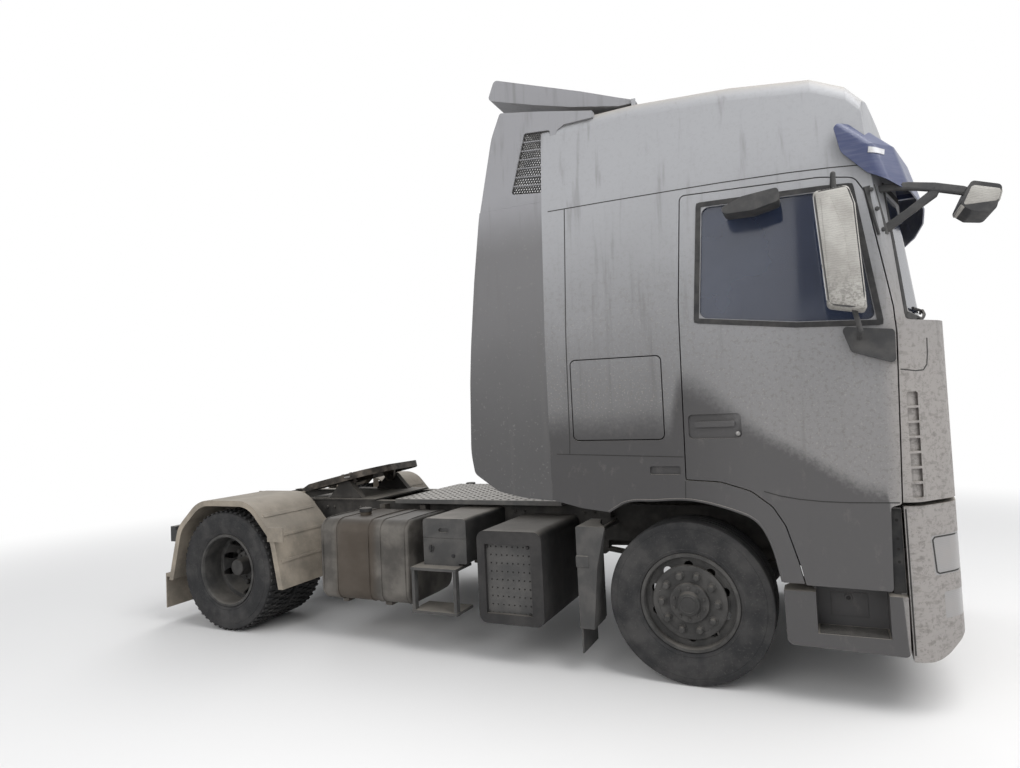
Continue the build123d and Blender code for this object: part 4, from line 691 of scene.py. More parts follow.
def grown(corners, step):
    """A flat outline of (a, b) corners, moved outwards by a step."""
    ring = list(zip(corners, corners[1:] + corners[:1]))
    way = 1 if sum(a[0] * b[1] - b[0] * a[1] for a, b in ring) > 0 else -1
    made = []
    for i, here in enumerate(corners):
        first = (Vector(here) - Vector(corners[i - 1])).normalized()
        second = (Vector(corners[(i + 1) % len(corners)]) - Vector(here)).normalized()
        edge_out = Vector((first.y, -first.x)) * way
        out = (edge_out + Vector((second.y, -second.x)) * way).normalized()
        made.append(tuple(Vector(here) + out * (step / max(0.4, edge_out.dot(out)))))
    return tuple(made)


def moved(points):
    """Moves by each of the given steps."""
    return [Matrix.Translation(point) for point in points]


def bolt(name, radius, height, centre=(0, 0, 0)):
    """A hexagon head on a washer, standing along Y, away from the truck's right side."""
    washer = radius * 1.35
    profile = [(0, POLE), (0, washer), (-height * 0.22, washer), (-height * 0.24, radius),
               (-height * 0.85, radius), (-height, radius * 0.8), (-height, POLE)]
    return lathe(name, profile, centre, steps=6)


def around(centre, count, start=0.5):
    """Turns about an axle along Y, evenly spaced."""
    middle = Matrix.Translation(centre)
    turns = [Matrix.Rotation(2 * math.pi * (i + start) / count, 4, "Y") for i in range(count)]
    return [middle @ turn @ middle.inverted() for turn in turns]


# Stage

# The camera of the photograph: yaw, pitch and roll in radians, its place, and its sensor's width in mm
CAMERA_TURN = (0.4315168, 0.0419528, -0.0467924)
CAMERA_PLACE = (2.2337, -5.37362, 1.71373)
SENSOR_WIDTH = 36.0
SKY_COLOUR = (0.93, 0.96, 1.0, 1.0)
# Squares of the distances from the origin between which the floor turns white
FADE_START, FADE_END = 16.0, 110.0


class TRUCK_OT_stage(bpy.types.Operator):
    """Build the pale floor, the soft lamps, the sky and the camera at the photograph's place"""

    bl_idname = "truck.stage"
    bl_label = "Studio Stage"

    def execute(self, context):
        settings = context.scene.truck_stage
        deselect()
        bpy.ops.mesh.primitive_plane_add(size=settings.floor_size, location=(0, 0, 0))
        floor = named("floor")
        finish = Finish("floor_pale")
        tone = finish.mix(finish.noise(0.6, 3.0) * 0.12, tuple(settings.floor_colour), (0.66, 0.65, 0.64))
        finish.shine(Base_Color=tone, Roughness=0.9)
        self.fade(finish)
        floor.data.materials.append(finish.material)
        self.sky(context, settings)
        self.lamps(settings)
        self.camera(context, settings)
        return {"FINISHED"}

    def fade(self, finish):
        """Let the floor run out into the white surround, well away from the truck and its shadow."""
        tree = finish.tree
        white = tree.nodes.new("ShaderNodeEmission")
        path = tree.nodes.new("ShaderNodeLightPath")
        seen = Value(finish, path.outputs["Is Camera Ray"])
        for ray in ("Is Glossy Ray", "Is Transmission Ray"):
            seen = seen.maths("MAXIMUM", Value(finish, path.outputs[ray]))
        far = (finish.x * finish.x + finish.y * finish.y).ramp(FADE_START, FADE_END)
        mix = tree.nodes.new("ShaderNodeMixShader")
        tree.links.new((far * seen).socket, mix.inputs[0])
        tree.links.new(finish.surface.outputs[0], mix.inputs[1])
        tree.links.new(white.outputs[0], mix.inputs[2])
        tree.links.new(mix.outputs[0], tree.nodes["Material Output"].inputs["Surface"])

    def sky(self, context, settings):
        """Even light from all round, behind which the camera and clear surfaces see white."""
        world = bpy.data.worlds.new("even_sky")
        context.scene.world = world
        world.use_nodes = True
        tree = world.node_tree
        base = tree.nodes["Background"]
        base.inputs["Color"].default_value = SKY_COLOUR
        base.inputs["Strength"].default_value = settings.sky_level
        white = tree.nodes.new("ShaderNodeBackground")
        white.inputs["Color"].default_value = (1, 1, 1, 1)
        white.inputs["Strength"].default_value = 1.0
        path = tree.nodes.new("ShaderNodeLightPath")
        seen = path.outputs["Is Camera Ray"]
        for ray in ("Is Glossy Ray", "Is Transmission Ray"):
            either = tree.nodes.new("ShaderNodeMath")
            either.operation = "MAXIMUM"
            tree.links.new(seen, either.inputs[0])
            tree.links.new(path.outputs[ray], either.inputs[1])
            seen = either.outputs[0]
        mix = tree.nodes.new("ShaderNodeMixShader")
        tree.links.new(seen, mix.inputs[0])
        tree.links.new(base.outputs[0], mix.inputs[1])
        tree.links.new(white.outputs[0], mix.inputs[2])
        tree.links.new(mix.outputs[0], tree.nodes["World Output"].inputs[0])

    def lamps(self, settings):
        """Three large soft lamps: name, power, size, place and what each is turned to."""
        spots = (
            ("key", settings.key_power, 7.0, (5.5, -2.0, 8.5), (0.5, 0.0, 1.5)),
            ("fill", settings.fill_power, 6.0, (-1.0, -9.0, 4.5), (0.0, 0.0, 1.5)),
            ("back", settings.fill_power, 6.0, (-6.0, 6.0, 7.0), (0.0, 0.0, 1.5)),
        )
        for name, power, size, place, target in spots:
            deselect()
            bpy.ops.object.light_add(type="AREA", location=place)
            lamp = bpy.context.object
            lamp.name = name
            lamp.data.energy, lamp.data.size = power, size
            lamp.rotation_euler = (Vector(target) - Vector(place)).to_track_quat("-Z", "Y").to_euler()

    def camera(self, context, settings):
        """The camera at the photograph's place, turned by yaw, then pitch, then roll."""
        yaw, pitch, roll = CAMERA_TURN
        right = Vector((math.cos(yaw), math.sin(yaw), 0))
        level = Vector((-math.sin(yaw), math.cos(yaw), 0))
        ahead = level * math.cos(pitch) + Vector((0, 0, math.sin(pitch)))
        up = Vector((0, 0, math.cos(pitch))) - level * math.sin(pitch)
        turned_right = right * math.cos(roll) + up * math.sin(roll)
        turned_up = up * math.cos(roll) - right * math.sin(roll)
        deselect()
        bpy.ops.object.camera_add()
        camera = bpy.context.object
        camera.name = "photo_camera"
        turn = Matrix((turned_right, turned_up, -ahead)).transposed().to_4x4()
        camera.matrix_world = Matrix.Translation(CAMERA_PLACE) @ turn
        camera.data.lens, camera.data.sensor_width = settings.lens, SENSOR_WIDTH
        camera.data.clip_end = 300.0
        context.scene.camera = camera
        context.scene.view_settings.view_transform = "Standard"


# Tyres

TYRE_WIDTH = 0.3048
TYRE_RADIUS = 0.5
BEAD_RADIUS = 0.286
RIB_GROOVES = (-0.083, -0.029, 0.029, 0.083)
BLOCK_ROWS = ((-0.134, -0.078), (-0.068, -0.005), (0.005, 0.068), (0.078, 0.134))
# A tread block's share of its spacing, how far its foot sits in the carcass, and how much lower the outer
# rows are
BLOCK_SHARE = 0.41
BLOCK_ROOT = 0.006
SHOULDER_DROP = 0.003


def tyre_profile(crown, grooves, depth, gap):
    """Closed (y, radius) profile of a tyre with long grooves, bulged walls, rib and beads."""
    half, bead = TYRE_WIDTH / 2, BEAD_RADIUS
    tread = half - 0.020
    top = []
    edges = [-tread]
    for place in grooves:
        edges.extend((place - gap / 2, place + gap / 2))
    edges.append(tread)
    for i in range(0, len(edges), 2):
        left, right = edges[i], edges[i + 1]
        fall = [crown - 0.004 * (abs(y) / tread) ** 2 for y in (left, right)]
        top.extend(((left, fall[0]), (right, fall[1])))
        if i + 2 < len(edges):
            top.extend(((right + 0.001, crown - depth), (edges[i + 2] - 0.001, crown - depth)))
    wall = [
        (half - 0.009, crown - 0.010), (half - 0.003, crown - 0.034), (half - 0.004, crown - 0.048),
        (half - 0.001, crown - 0.052), (half, crown - 0.075), (half, crown - 0.115),
        (half - 0.0015, crown - 0.121), (half - 0.004, crown - 0.150), (half - 0.010, bead + 0.042),
        (half - 0.008, bead + 0.036), (half - 0.018, bead + 0.018), (half - 0.0265, bead + 0.016),
        (half - 0.0265, bead + 0.0006),
    ]
    inner = [(-y, r) for y, r in reversed(wall)]
    return top + wall + inner


class TRUCK_OT_tyres(bpy.types.Operator):
    """Build ribbed front tyres and blocked rear tyres in place of the plain CAD rings"""

    bl_idname = "truck.tyres"
    bl_label = "Tyres"

    def execute(self, context):
        settings = context.scene.truck_tyres
        profile = tyre_profile(TYRE_RADIUS, RIB_GROOVES, settings.groove_depth, settings.groove_width)
        for side, sign in SIDES:
            tyre = lathe(f"front_tyre_{side}", profile, (AXLE_X, sign * FRONT_TYRE_Y, AXLE_Z), steps=120)
            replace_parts(fitted(tyre, "tyre_rubber", f"wheel_front_{side}"), f"tyre_front_{side}")
            twins = [self.blocked(f"rear_tyre_{side}_{i}", (REAR_AXLE_X, sign * y, AXLE_Z), settings)
                     for i, y in enumerate(TWIN_TYRES_Y)]
            pair = joined(twins, f"rear_tyres_{side}")
            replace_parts(fitted(pair, "tyre_rubber", f"wheel_rear_{side}"), f"tyres_rear_{side}")
        return {"FINISHED"}

    def blocked(self, name, place, settings):
        """A tyre whose tread is cut across into blocks, from one spun carcass and a ring of block rows."""
        low = TYRE_RADIUS - settings.groove_depth
        carcass = lathe(name, tyre_profile(low, (), 0.0, 0.0), place, steps=96)
        rows = [self.blocks(y_low, y_high, low - BLOCK_ROOT, place, settings.blocks, 0.5 * (row % 2))
                for row, (y_low, y_high) in enumerate(BLOCK_ROWS)]
        return joined([carcass, *rows], name)

    def blocks(self, y_low, y_high, r_low, place, count, shift):
        """One row of tread blocks round a tyre."""
        half = BLOCK_SHARE * math.pi * TYRE_RADIUS / count
        at_shoulder = max(abs(y_low), abs(y_high)) > 0.1
        outer = TYRE_RADIUS - (SHOULDER_DROP if at_shoulder else 0.0)
        piece = slab("row", (place[0] - half, place[1] + y_low, place[2] + r_low),
                     (place[0] + half, place[1] + y_high, place[2] + outer), 0.0025, 1)
        return copied(piece, around(place, count, shift))


# Wheels

NUTS = 10
NUT_RING_R = 0.1675
# The wheel discs' faces along Y on the right side, from the middle of their tyre
FRONT_FACE = -0.122
REAR_FACE = 0.1585


class TRUCK_OT_wheel_fittings(bpy.types.Operator):
    """Add capped nuts, hub bolts, hub caps, the discs' raised edges and valves to the wheels"""

    bl_idname = "truck.wheel_fittings"
    bl_label = "Wheel Fittings"

    def execute(self, context):
        front = Vector((AXLE_X, -FRONT_TYRE_Y, AXLE_Z))
        rear = Vector((REAR_AXLE_X, -TWIN_TYRES_Y[0], AXLE_Z))
        face = FRONT_FACE
        parts = [self.nuts(front, face), self.small_bolts(front, face - 0.0262, 0.094)]
        edge = [(face - 0.0020, 0.190), (face - 0.0030, 0.216), (face + 0.001, 0.224), (face + 0.020, 0.226),
                (face + 0.024, 0.220), (face + 0.006, 0.200), (face + 0.001, 0.190)]
        parts.append(lathe("edge", edge, front, 60))
        end = face - 0.058
        cap = [(end + 0.006, POLE), (end + 0.006, 0.057), (end - 0.003, 0.055), (end - 0.005, 0.050),
               (end - 0.002, 0.046), (end - 0.004, 0.040), (end - 0.004, POLE)]
        parts.append(lathe("cap", cap, front, 40))
        parts.append(self.valve(front, face + 0.02, -0.03))
        both_fitted(joined(parts), "front_wheel_fittings", "wheel_paint", "wheel_front_{side}")
        parts = [self.nuts(rear, REAR_FACE), self.small_bolts(rear, REAR_FACE - 0.0862, 0.098),
                 self.valve(rear, REAR_FACE - 0.02, -0.10)]
        both_fitted(joined(parts), "rear_wheel_fittings", "wheel_paint", "wheel_rear_{side}")
        return {"FINISHED"}

    def nuts(self, centre, face):
        """A ring of capped wheel nuts."""
        profile = [(face + 0.002, POLE), (face + 0.002, 0.028), (face - 0.007, 0.027), (face - 0.011, 0.0215),
                   (face - 0.036, 0.0205), (face - 0.044, 0.015), (face - 0.046, POLE)]
        nut = lathe("nut", profile, centre + Vector((0, 0, NUT_RING_R)), 12)
        return copied(nut, around(centre, NUTS))

    def small_bolts(self, centre, face, radius):
        """A ring of bolts on the hub."""
        head = bolt("head", 0.0085, 0.011, centre + Vector((0, face, radius)))
        return copied(head, around(centre, NUTS, 0.0))

    def valve(self, centre, face, reach):
        """A bent valve stem that reaches out from the rim."""
        foot = centre + Vector((0.150, face, -0.165))
        bends = ((0, 0, 0), (0.004, reach * 0.5, -0.004), (0.012, reach, -0.012))
        return tube("valve", [foot + Vector(bend) for bend in bends], 0.005)


# Cab trim, with its outlines in millimetres: along or across the cab from the front axle, and height

WINDOW = ((172, 2225), (214, 2897), (866, 2876), (1004, 2866), (1098, 2125), (700, 2150))
SCREEN = ((-1098, 2170), (-1040, 2868), (1040, 2868), (1098, 2170))
SIDE_SEAMS = (
    ("rear_seam", "cab_shell", ((-666, 3040), (-674, 2600), (-684, 2026), (-690, 1500), (-694, 1428))),
    ("low_seam", "cab_shell", ((-784, 1426), (-300, 1408), (30, 1396))),
    ("roof_seam", "cab_shell", (
        (-784, 3044), (-400, 3042), (89, 3036), (337, 3032), (700, 3020), (926, 3006), (1090, 2990))),
    ("fender_seam", "cab_shell", ((34, 1250), (30, 1147))),
    ("corner_seam", "cab_shell", (
        (1343, 2012), (1340, 1930), (1333, 1868), (1312, 1838), (1270, 1834), (1196, 1846))),
    ("skirt_seam", "door_{side}", (
        (474, 1192), (560, 1167), (661, 1149), (780, 1138), (912, 1134), (1150, 1136))),
)
ARCH_EDGE = ((-452, 1058), (-400, 1090), (-340, 1121), (-150, 1134), (28, 1141), (130, 1128), (221, 1106),
             (320, 1075), (397, 1042), (440, 1005), (476, 948), (508, 862), (529, 771), (545, 684))


class TRUCK_OT_cab_trim(bpy.types.Operator):
    """Add panel seams, arch lips, window rubbers and door locks to the cab"""

    bl_idname = "truck.cab_trim"
    bl_label = "Cab Trim"

    def execute(self, context):
        trim = context.scene.truck_trim
        for name, node, points in SIDE_SEAMS:
            body = "door_{side}" if "door" in node else "cab"
            line = strip(name, on_side(OUTSIDE_Y, points), trim.seam_width, node.format(side="right"), 0.0008,
                         0.002)
            both_fitted(line, name, "seam_shadow", body, 0)
        lip = tube("arch_lip", on_side(-1246, ARCH_EDGE), 0.008)
        both_fitted(lip, "arch_lip", "dusty_paint", "cab")
        pane_edge = on_side(OUTSIDE_Y, grown(WINDOW, 19))
        rubber = strip("window_rubber", pane_edge, trim.rubber_width, "door_right", 0.004, 0.006, closed=True)
        both_fitted(rubber, "window_rubber", "black_rubber", "door_{side}", 0)
        screen = [at(AHEAD_X, y, z) for y, z in grown(SCREEN, 24)]
        band = strip("screen_rubber", screen, 0.040, "cab_shell", 0.003, 0.005, closed=True,
                     direction=(-1, 0, 0))
        fitted(band, "black_rubber", "cab", 0)
        profile = [(0.002, POLE), (0.002, 0.014), (-0.004, 0.013), (-0.006, 0.009), (-0.006, POLE)]
        lock = lathe("door_lock", profile, at(352, -1250, 1528), 20)
        both_fitted(lock, "door_lock", "worn_steel", "door_{side}")
        return {"FINISHED"}


class TRUCK_OT_mirror_trim(bpy.types.Operator):
    """Add muddy housings and glass to the door mirrors, and the front mirror's housing and flat bracket"""

    bl_idname = "truck.mirror_trim"
    bl_label = "Mirrors"

    def execute(self, context):
        outline = ((829, 2790), (992, 2797), (1018, 2700), (1041, 2150), (865, 2190))
        cover = plate("mirror_cover", on_side(-1357, grown(outline, 3)), (0, -0.191, 0))
        cover = bevelled(cover, 0.022, 4, 50)
        both_fitted(cover, "mirror_cover", "mirror_mud", "door_{side}", 40)
        outline = ((862, 2745), (905, 2750), (960, 2560), (985, 2190), (880, 2205))
        ridge = bevelled(plate("mirror_ridge", on_side(-1546, outline), (0, -0.006, 0)), 0.005, 2)
        both_fitted(ridge, "mirror_ridge", "mirror_mud", "door_{side}", 40)
        self.panes()
        outline = ((1515, 2668), (1572, 2787), (1712, 2740), (1690, 2666))
        hood = bevelled(plate("front_mirror_cover", on_side(-977, outline), (0, -0.266, 0)), 0.020, 3, 50)
        fitted(hood, "mirror_mud", "cab", 40)
        self.bracket()
        return {"FINISHED"}

    def panes(self):
        """Two panes on the leaning back of each door mirror."""
        panes = []
        for i, (low, high) in enumerate(((2215, 2385), (2405, 2765))):
            corners = ((-1375, low), (-1375, high), (-1528, high), (-1528, low))
            # The housing's back leans by 36 mm in 600 mm, and the panes stand 5 mm off it
            edge = [at(829 + (2790 - z) / 600 * 36 - 5, y, z) for y, z in corners]
            panes.append(plate(f"pane_{i}", edge, (0.004, 0, 0), 0.0012))
        both_fitted(joined(panes), "mirror_pane", "mirror_glass", "door_{side}", 0)

    def bracket(self):
        """The front mirror's arm, strut and foot, with their bolts."""
        arm = plate("front_arm", on_side(-1117, (
            (1100, 2868), (1197, 2878), (1300, 2872), (1430, 2845), (1560, 2802), (1650, 2750), (1643, 2720),
            (1560, 2752), (1425, 2797), (1310, 2826), (1238, 2838), (1108, 2836))), (0, -0.027, 0), 0.006)
        strut = plate("strut", on_side(-1118, (
            (1120, 2586), (1145, 2634), (1300, 2732), (1425, 2822), (1452, 2800), (1436, 2768), (1310, 2686),
            (1162, 2586))), (0, -0.024, 0), 0.006)
        line = on_side(OUTSIDE_Y, ((1114, 2866), (1142, 2730), (1170, 2592)))
        foot = strip("foot", line, 0.056, "cab_shell", 0.012, 0.011)
        starts = on_side(OUTSIDE_Y, ((1120, 2840), (1142, 2728), (1166, 2614)))
        heads = [bolt("head", 0.010, 0.010, hit("cab_shell", start, (0, 1, 0)) + Vector((0, -0.011, 0)))
                 for start in starts]
        bracket = joined([arm, strut, foot, *heads], "front_mirror_bracket")
        fitted(bracket, "dark_moulding", "cab")


class TRUCK_OT_front_trim(bpy.types.Operator):
    """Add wipers, grille bands, lamp seams, marker lamps and a blank plate to the cab's front"""

    bl_idname = "truck.front_trim"
    bl_label = "Front"

    def execute(self, context):
        self.wipers()
        for i in range(5):
            z = 1595 + (i - 2) * 122
            line = [at(AHEAD_X, y, z) for y in (-630, 0, 630)]
            band = strip(f"grille_band_{i}", line, 0.050, "front_lid", 0.001, 0.001, direction=(-1, 0, 0))
            fitted(band, "black_rubber", "front_lid", 0)
        lamp_edge = ((1436, 747), (1322, 747), (1309, 758), (1298, 928), (1309, 941), (1430, 941))
        for name, points, node in (("lamp_seam", lamp_edge, "headlamps"),
                                   ("bumper_seam", ((1176, 1100), (1176, 330)), "front_bumper")):
            line = strip(name, on_side(OUTSIDE_Y, points), 0.008, node, 0.001, 0.003)
            both_fitted(line, name, "seam_shadow", "chassis", 0)
        line = on_side(OUTSIDE_Y, ((1118, 3058), (1200, 3046)))
        marker = strip("side_marker", line, 0.032, "sun_visor", 0.005, 0.006)
        both_fitted(marker, "side_marker", "lamp_clear", "cab", 0)
        blank = slab("number_plate", at(1484, -260, 512), at(1488, 260, 626), 0.0015)
        fitted(blank, "plate_blank", "chassis")
        return {"FINISHED"}

    def wipers(self):
        """Three wipers, set down on the screen from a plane ahead of it."""
        ahead, back = 3.3, (-1, 0, 0)
        parts = []
        for y in (-0.86, -0.16, 0.54):
            pivot = hit("cab_shell", (ahead, y, 2.130), back)
            parts.append(lathe("pivot", [(-0.016, POLE), (-0.016, 0.016), (0.016, 0.016), (0.016, POLE)],
                               pivot + Vector((0.004, 0, 0)), 16))
            blade = [hit("windscreen", (ahead, y + reach, 2.205 + reach * 0.03), back) + Vector((0.014, 0, 0))
                     for reach in (-0.05, 0.08, 0.21, 0.34, 0.46)]
            parts.append(tube("blade", blade, 0.008, sides=1))
            middle = blade[2] + Vector((0.010, 0, 0))
            arm = [pivot + Vector((0.016, 0, 0)), pivot.lerp(middle, 0.5) + Vector((0.022, 0, 0)), middle]
            parts.append(tube("arm", arm, 0.009, sides=1))
        fitted(joined(parts, "wipers"), "black_rubber", "cab")


# Steps and side boxes


class TRUCK_OT_step_fittings(bpy.types.Operator):
    """Add the hatch, treads and the strip with holes to the entrance steps, and clips to the splash strips"""

    bl_idname = "truck.step_fittings"
    bl_label = "Steps"

    def execute(self, context):
        outline = ((785, 460), (785, 596), (976, 596), (976, 460))
        hatch = bevelled(plate("hatch", on_side(-1049, outline), (0, -0.006, 0)), 0.004, 2)
        ring = lathe("ring", [(0.0, 0.012), (0.0, 0.022), (-0.007, 0.021), (-0.009, 0.017), (-0.007, 0.012)],
                     at(876, -1054, 567), 24)
        both_fitted(joined([hatch, ring]), "step_hatch", "step_paint_shaded", "chassis")
        edge = self.dark_hole("hatch_hole", 0.0125, 0.0015, at(876, -1055, 567), 20)
        both_fitted(edge, "hatch_hole", "seam_shadow", "chassis")
        bar = slab("bar", at(722, -1228, 405), at(1062, -1219, 412), 0.002, 1)
        treads = copied(bar, moved([(0, 0.018 * i, 0) for i in range(9)]))
        both_fitted(treads, "step_treads", "black_rubber", "chassis")
        strip_plate = slab("holed_strip", at(1102, -1176, 642), at(1158, -1170, 1094), 0.002)
        both_fitted(strip_plate, "holed_strip", "dark_moulding", "chassis")
        hole = self.dark_hole("strip_hole", 0.008, 0.0012, at(1134, -1176, 808), 14)
        holes = copied(hole, moved([(0, 0, rise) for rise in (0, 0.069, 0.125, 0.225)]))
        both_fitted(holes, "strip_holes", "seam_shadow", "chassis", 0)
        clip = slab("flap_clip", at(-704, -1222, 688), at(-612, -1150, 768), 0.012, 3)
        both_fitted(clip, "flap_clip", "grey_box", "chassis")
        return {"FINISHED"}

    def dark_hole(self, name, radius, depth, centre, steps):
        """A thin dark disc of painted shade that shows as a hole."""
        profile = [(0.0, POLE), (0.0, radius), (-depth, radius), (-depth, POLE)]
        return lathe(name, profile, centre, steps)


# The silencer's shield in millimetres: low and high x, low and high z
SHIELD = (-1394, -1026, 316, 822)
# Its holes in a row, and half the side of a hole in metres
SHIELD_HOLES = 9
HOLE_HALF = 0.0052
# The fuel tanks' section in millimetres: inner and outer y, low and high z, and the corners' radius
TANK_SECTION = (500, 1150, 315, 940, 95)


class TRUCK_OT_box_fittings(bpy.types.Operator):
    """Add the perforated silencer shield, latches, tank seams and filler caps"""

    bl_idname = "truck.box_fittings"
    bl_label = "Boxes and Tanks"

    def execute(self, context):
        self.shield()
        profile = [(0.001, POLE), (0.001, 0.024), (-0.006, 0.023), (-0.009, 0.016), (-0.009, POLE)]
        latch = lathe("latch", profile, at(-1863, -1100, 743), 24)
        grip = slab("grip", at(-1870, -1124, 716), at(-1856, -1106, 770), 0.004)
        knob = lathe("knob", [(y, r * 0.6) for y, r in profile], at(-1682, -1100, 694), 16)
        fitted(joined([latch, grip, knob], "box_latches"), "black_rubber", "chassis")
        seams = [tube("seam", self.section(x), 0.004, sides=1) for x in (-2832, -2395, -2068)]
        both_fitted(joined(seams), "tank_seams", "tank_metal", "chassis")
        cap = lathe("cap", [(-0.022, POLE), (-0.022, 0.040), (-0.012, 0.050), (0.012, 0.050), (0.016, 0.044),
                            (0.016, POLE)], (0, 0, 0), 28)
        stood = Matrix.Translation(at(-2596, -900, 980)) @ Matrix.Rotation(math.radians(90), 4, "X")
        rib = slab("rib", (-0.006, -0.030, -0.036), (0.006, -0.018, 0.036), 0.003)
        caps = joined([copied(cap, [stood]), copied(rib, [stood])])
        both_fitted(caps, "filler_caps", "black_rubber", "chassis")
        return {"FINISHED"}

    def section(self, x):
        """Points round a tank, just over its skin, on the right side."""
        y_in, y_out, z_low, z_high, radius = TANK_SECTION
        made = []
        corners = ((y_out - radius, z_low + radius, -90), (y_out - radius, z_high - radius, 0),
                   (y_in + radius, z_high - radius, 90), (y_in + radius, z_low + radius, 180))
        for y, z, start in corners:
            for step in range(5):
                turn = math.radians(start + 22.5 * step)
                made.append(at(x, -(y + (radius + 1) * math.cos(turn)), z + (radius + 1) * math.sin(turn)))
        made.append(made[0].copy())
        return made

    def shield(self):
        """A plate with rows of square holes, cut face by face, in the silencer box's recess."""
        x_low, x_high, z_low, z_high = SHIELD
        deselect()
        bpy.ops.mesh.primitive_grid_add(x_subdivisions=SHIELD_HOLES, y_subdivisions=SHIELD_HOLES, size=1)
        piece = named("silencer_shield")
        shares = [(vertex.co.x + 0.5, vertex.co.y + 0.5) for vertex in piece.data.vertices]
        reshape(piece, on_side(-1180, [
            (x_low + u * (x_high - x_low), z_low + v * (z_high - z_low)) for u, v in shares]))
        edit_all()
        bpy.ops.mesh.inset(thickness=0.010, use_individual=True)
        bpy.ops.object.mode_set(mode="OBJECT")
        chosen = [face for face in piece.data.polygons if face.select]
        for face in chosen:
            middle = face.center.copy()
            for index in face.vertices:
                vertex = piece.data.vertices[index]
                away = vertex.co - middle
                corner = (math.copysign(HOLE_HALF, away.x), 0, math.copysign(HOLE_HALF, away.z))
                vertex.co = middle + Vector(corner)
        bpy.ops.object.mode_set(mode="EDIT")
        bpy.ops.mesh.delete(type="FACE")
        bpy.ops.object.mode_set(mode="OBJECT")
        wall = piece.modifiers.new("wall", "SOLIDIFY")
        wall.thickness, wall.offset = 0.004, 1.0
        apply_all(piece)
        fitted(tidy(piece), "grey_box", "chassis", 0)
        # A dark slab behind the holes: painted shade in the recess.
        low, high = at(x_low + 4, -1175, z_low + 4), at(x_high - 4, -1171, z_high - 4)
        dark = slab("shield_painted_shade", low, high, 0.001, 1)
        fitted(dark, "seam_shadow", "chassis", 0)
        edge = [(x_low, z_low), (x_low, z_high), (x_high, z_high), (x_high, z_low)]
        frame_line = on_side(-1182, grown(edge, -6))
        bead = tube("shield_bead", [*frame_line, frame_line[0]], 0.006, smooth=False, sides=1)
        heads = [bolt("head", 0.012, 0.010, at(x, -1182, z)) for x in (x_low + 30, x_high - 30)
                 for z in (z_low + 28, z_high - 28)]
        fitted(joined([bead, *heads], "shield_edge"), "silencer_skin", "chassis")


# Chassis

# Rail bolts and the catwalk's top in millimetres
RAIL_BOLTS_X = (-4380, -4300, -3980, -3900, -3380, -3300, -3010, -2950, -1480, -1400, -900, -820, 300, 700,
                780)
RAIL_BOLTS_Z = (760, 920)
DECK_Z = 1021
# The tipping plate's pivot in millimetres, its slope at rest in degrees, and its top above the pivot
PLATE_PIVOT = (-3200, 0, 1120)
PLATE_SLOPE = -12
PLATE_TOP = 0.0895
# Places of the plate's grease grooves from its pivot, and their turns in degrees
GROOVES = ((0.22, 0.22, 35), (0.22, -0.22, -35), (-0.05, 0.27, 0), (-0.05, -0.27, 0), (0.12, 0.0, 0),
           (-0.28, 0.33, 20), (-0.28, -0.33, -20))
# Points of the pull handle from the pivot
HANDLE = ((0.070, -0.40, 0.062), (0.080, -0.46, 0.058), (0.110, -0.51, 0.054), (0.155, -0.50, 0.052))


class TRUCK_OT_chassis_fittings(bpy.types.Operator):
    """Add rail bolts, U-bolts, deck studs and the coupling's handle and bolts"""

    bl_idname = "truck.chassis_fittings"
    bl_label = "Chassis Fittings"

    def execute(self, context):
        head = bolt("rail_bolt", 0.014, 0.014, at(0, -430, 0))
        places = [(x / 1000, 0, z / 1000) for x in RAIL_BOLTS_X for z in RAIL_BOLTS_Z]
        bolts = copied(head, moved(places))
        both_fitted(bolts, "rail_bolts", "chassis_iron", "chassis", 0)
        shape = [(-334, 428), (-334, 594), (-342, 603), (-438, 603), (-446, 594), (-446, 428)]
        loop = tube("u_bolt", [at(-62, y, z) for y, z in shape], 0.008, smooth=False)
        loops = copied(loop, moved([(0, 0, 0), (0.124, 0, 0)]))
        both_fitted(loops, "u_bolts", "chassis_iron", "chassis")
        self.deck()
        self.coupling()
        return {"FINISHED"}

    def deck(self):
        """Raised grip studs in rows over the catwalk."""
        profile = [(-0.0005, POLE), (-0.0005, 0.013), (0.004, 0.011), (0.004, 0.006), (0.001, 0.004),
                   (0.001, POLE)]
        stud = lathe("deck_stud", profile, (0, 0, 0), 8)
        up = Matrix.Rotation(math.radians(90), 4, "X")
        places = [at(x, y, DECK_Z) for x in range(-2500, -1060, 72) for y in range(-520, 521, 80)]
        studs = copied(stud, [Matrix.Translation(place) @ up for place in places], "deck_studs")
        fitted(studs, "dull_alloy", "chassis", 0)

    def coupling(self):
        """Bolts, grease grooves and the pull handle of the tipping plate."""
        tilt = Matrix.Translation(at(*PLATE_PIVOT)) @ Matrix.Rotation(math.radians(PLATE_SLOPE), 4, "Y")
        groove = slab("groove", (-0.006, -0.110, PLATE_TOP), (0.006, 0.110, 0.0906), 0.0004, 1)
        turns = [tilt @ Matrix.Translation((x, y, 0)) @ Matrix.Rotation(math.radians(turn), 4, "Z")
                 for x, y, turn in GROOVES]
        fitted(copied(groove, turns, "grease_grooves"), "seam_shadow", "fifth_wheel", 0)
        handle = tube("pull_handle", [tilt @ Vector(point) for point in HANDLE], 0.009)
        head = bolt("head", 0.015, 0.012)
        stood = Matrix.Rotation(math.radians(-90), 4, "X")
        heads = copied(head, [tilt @ Matrix.Translation((x, y, PLATE_TOP)) @ stood for x in (-0.045, 0.045)
                              for y in (-0.345, -0.285, 0.285, 0.345)])
        fitted(joined([handle, heads], "coupling_handle"), "worn_steel", "fifth_wheel")


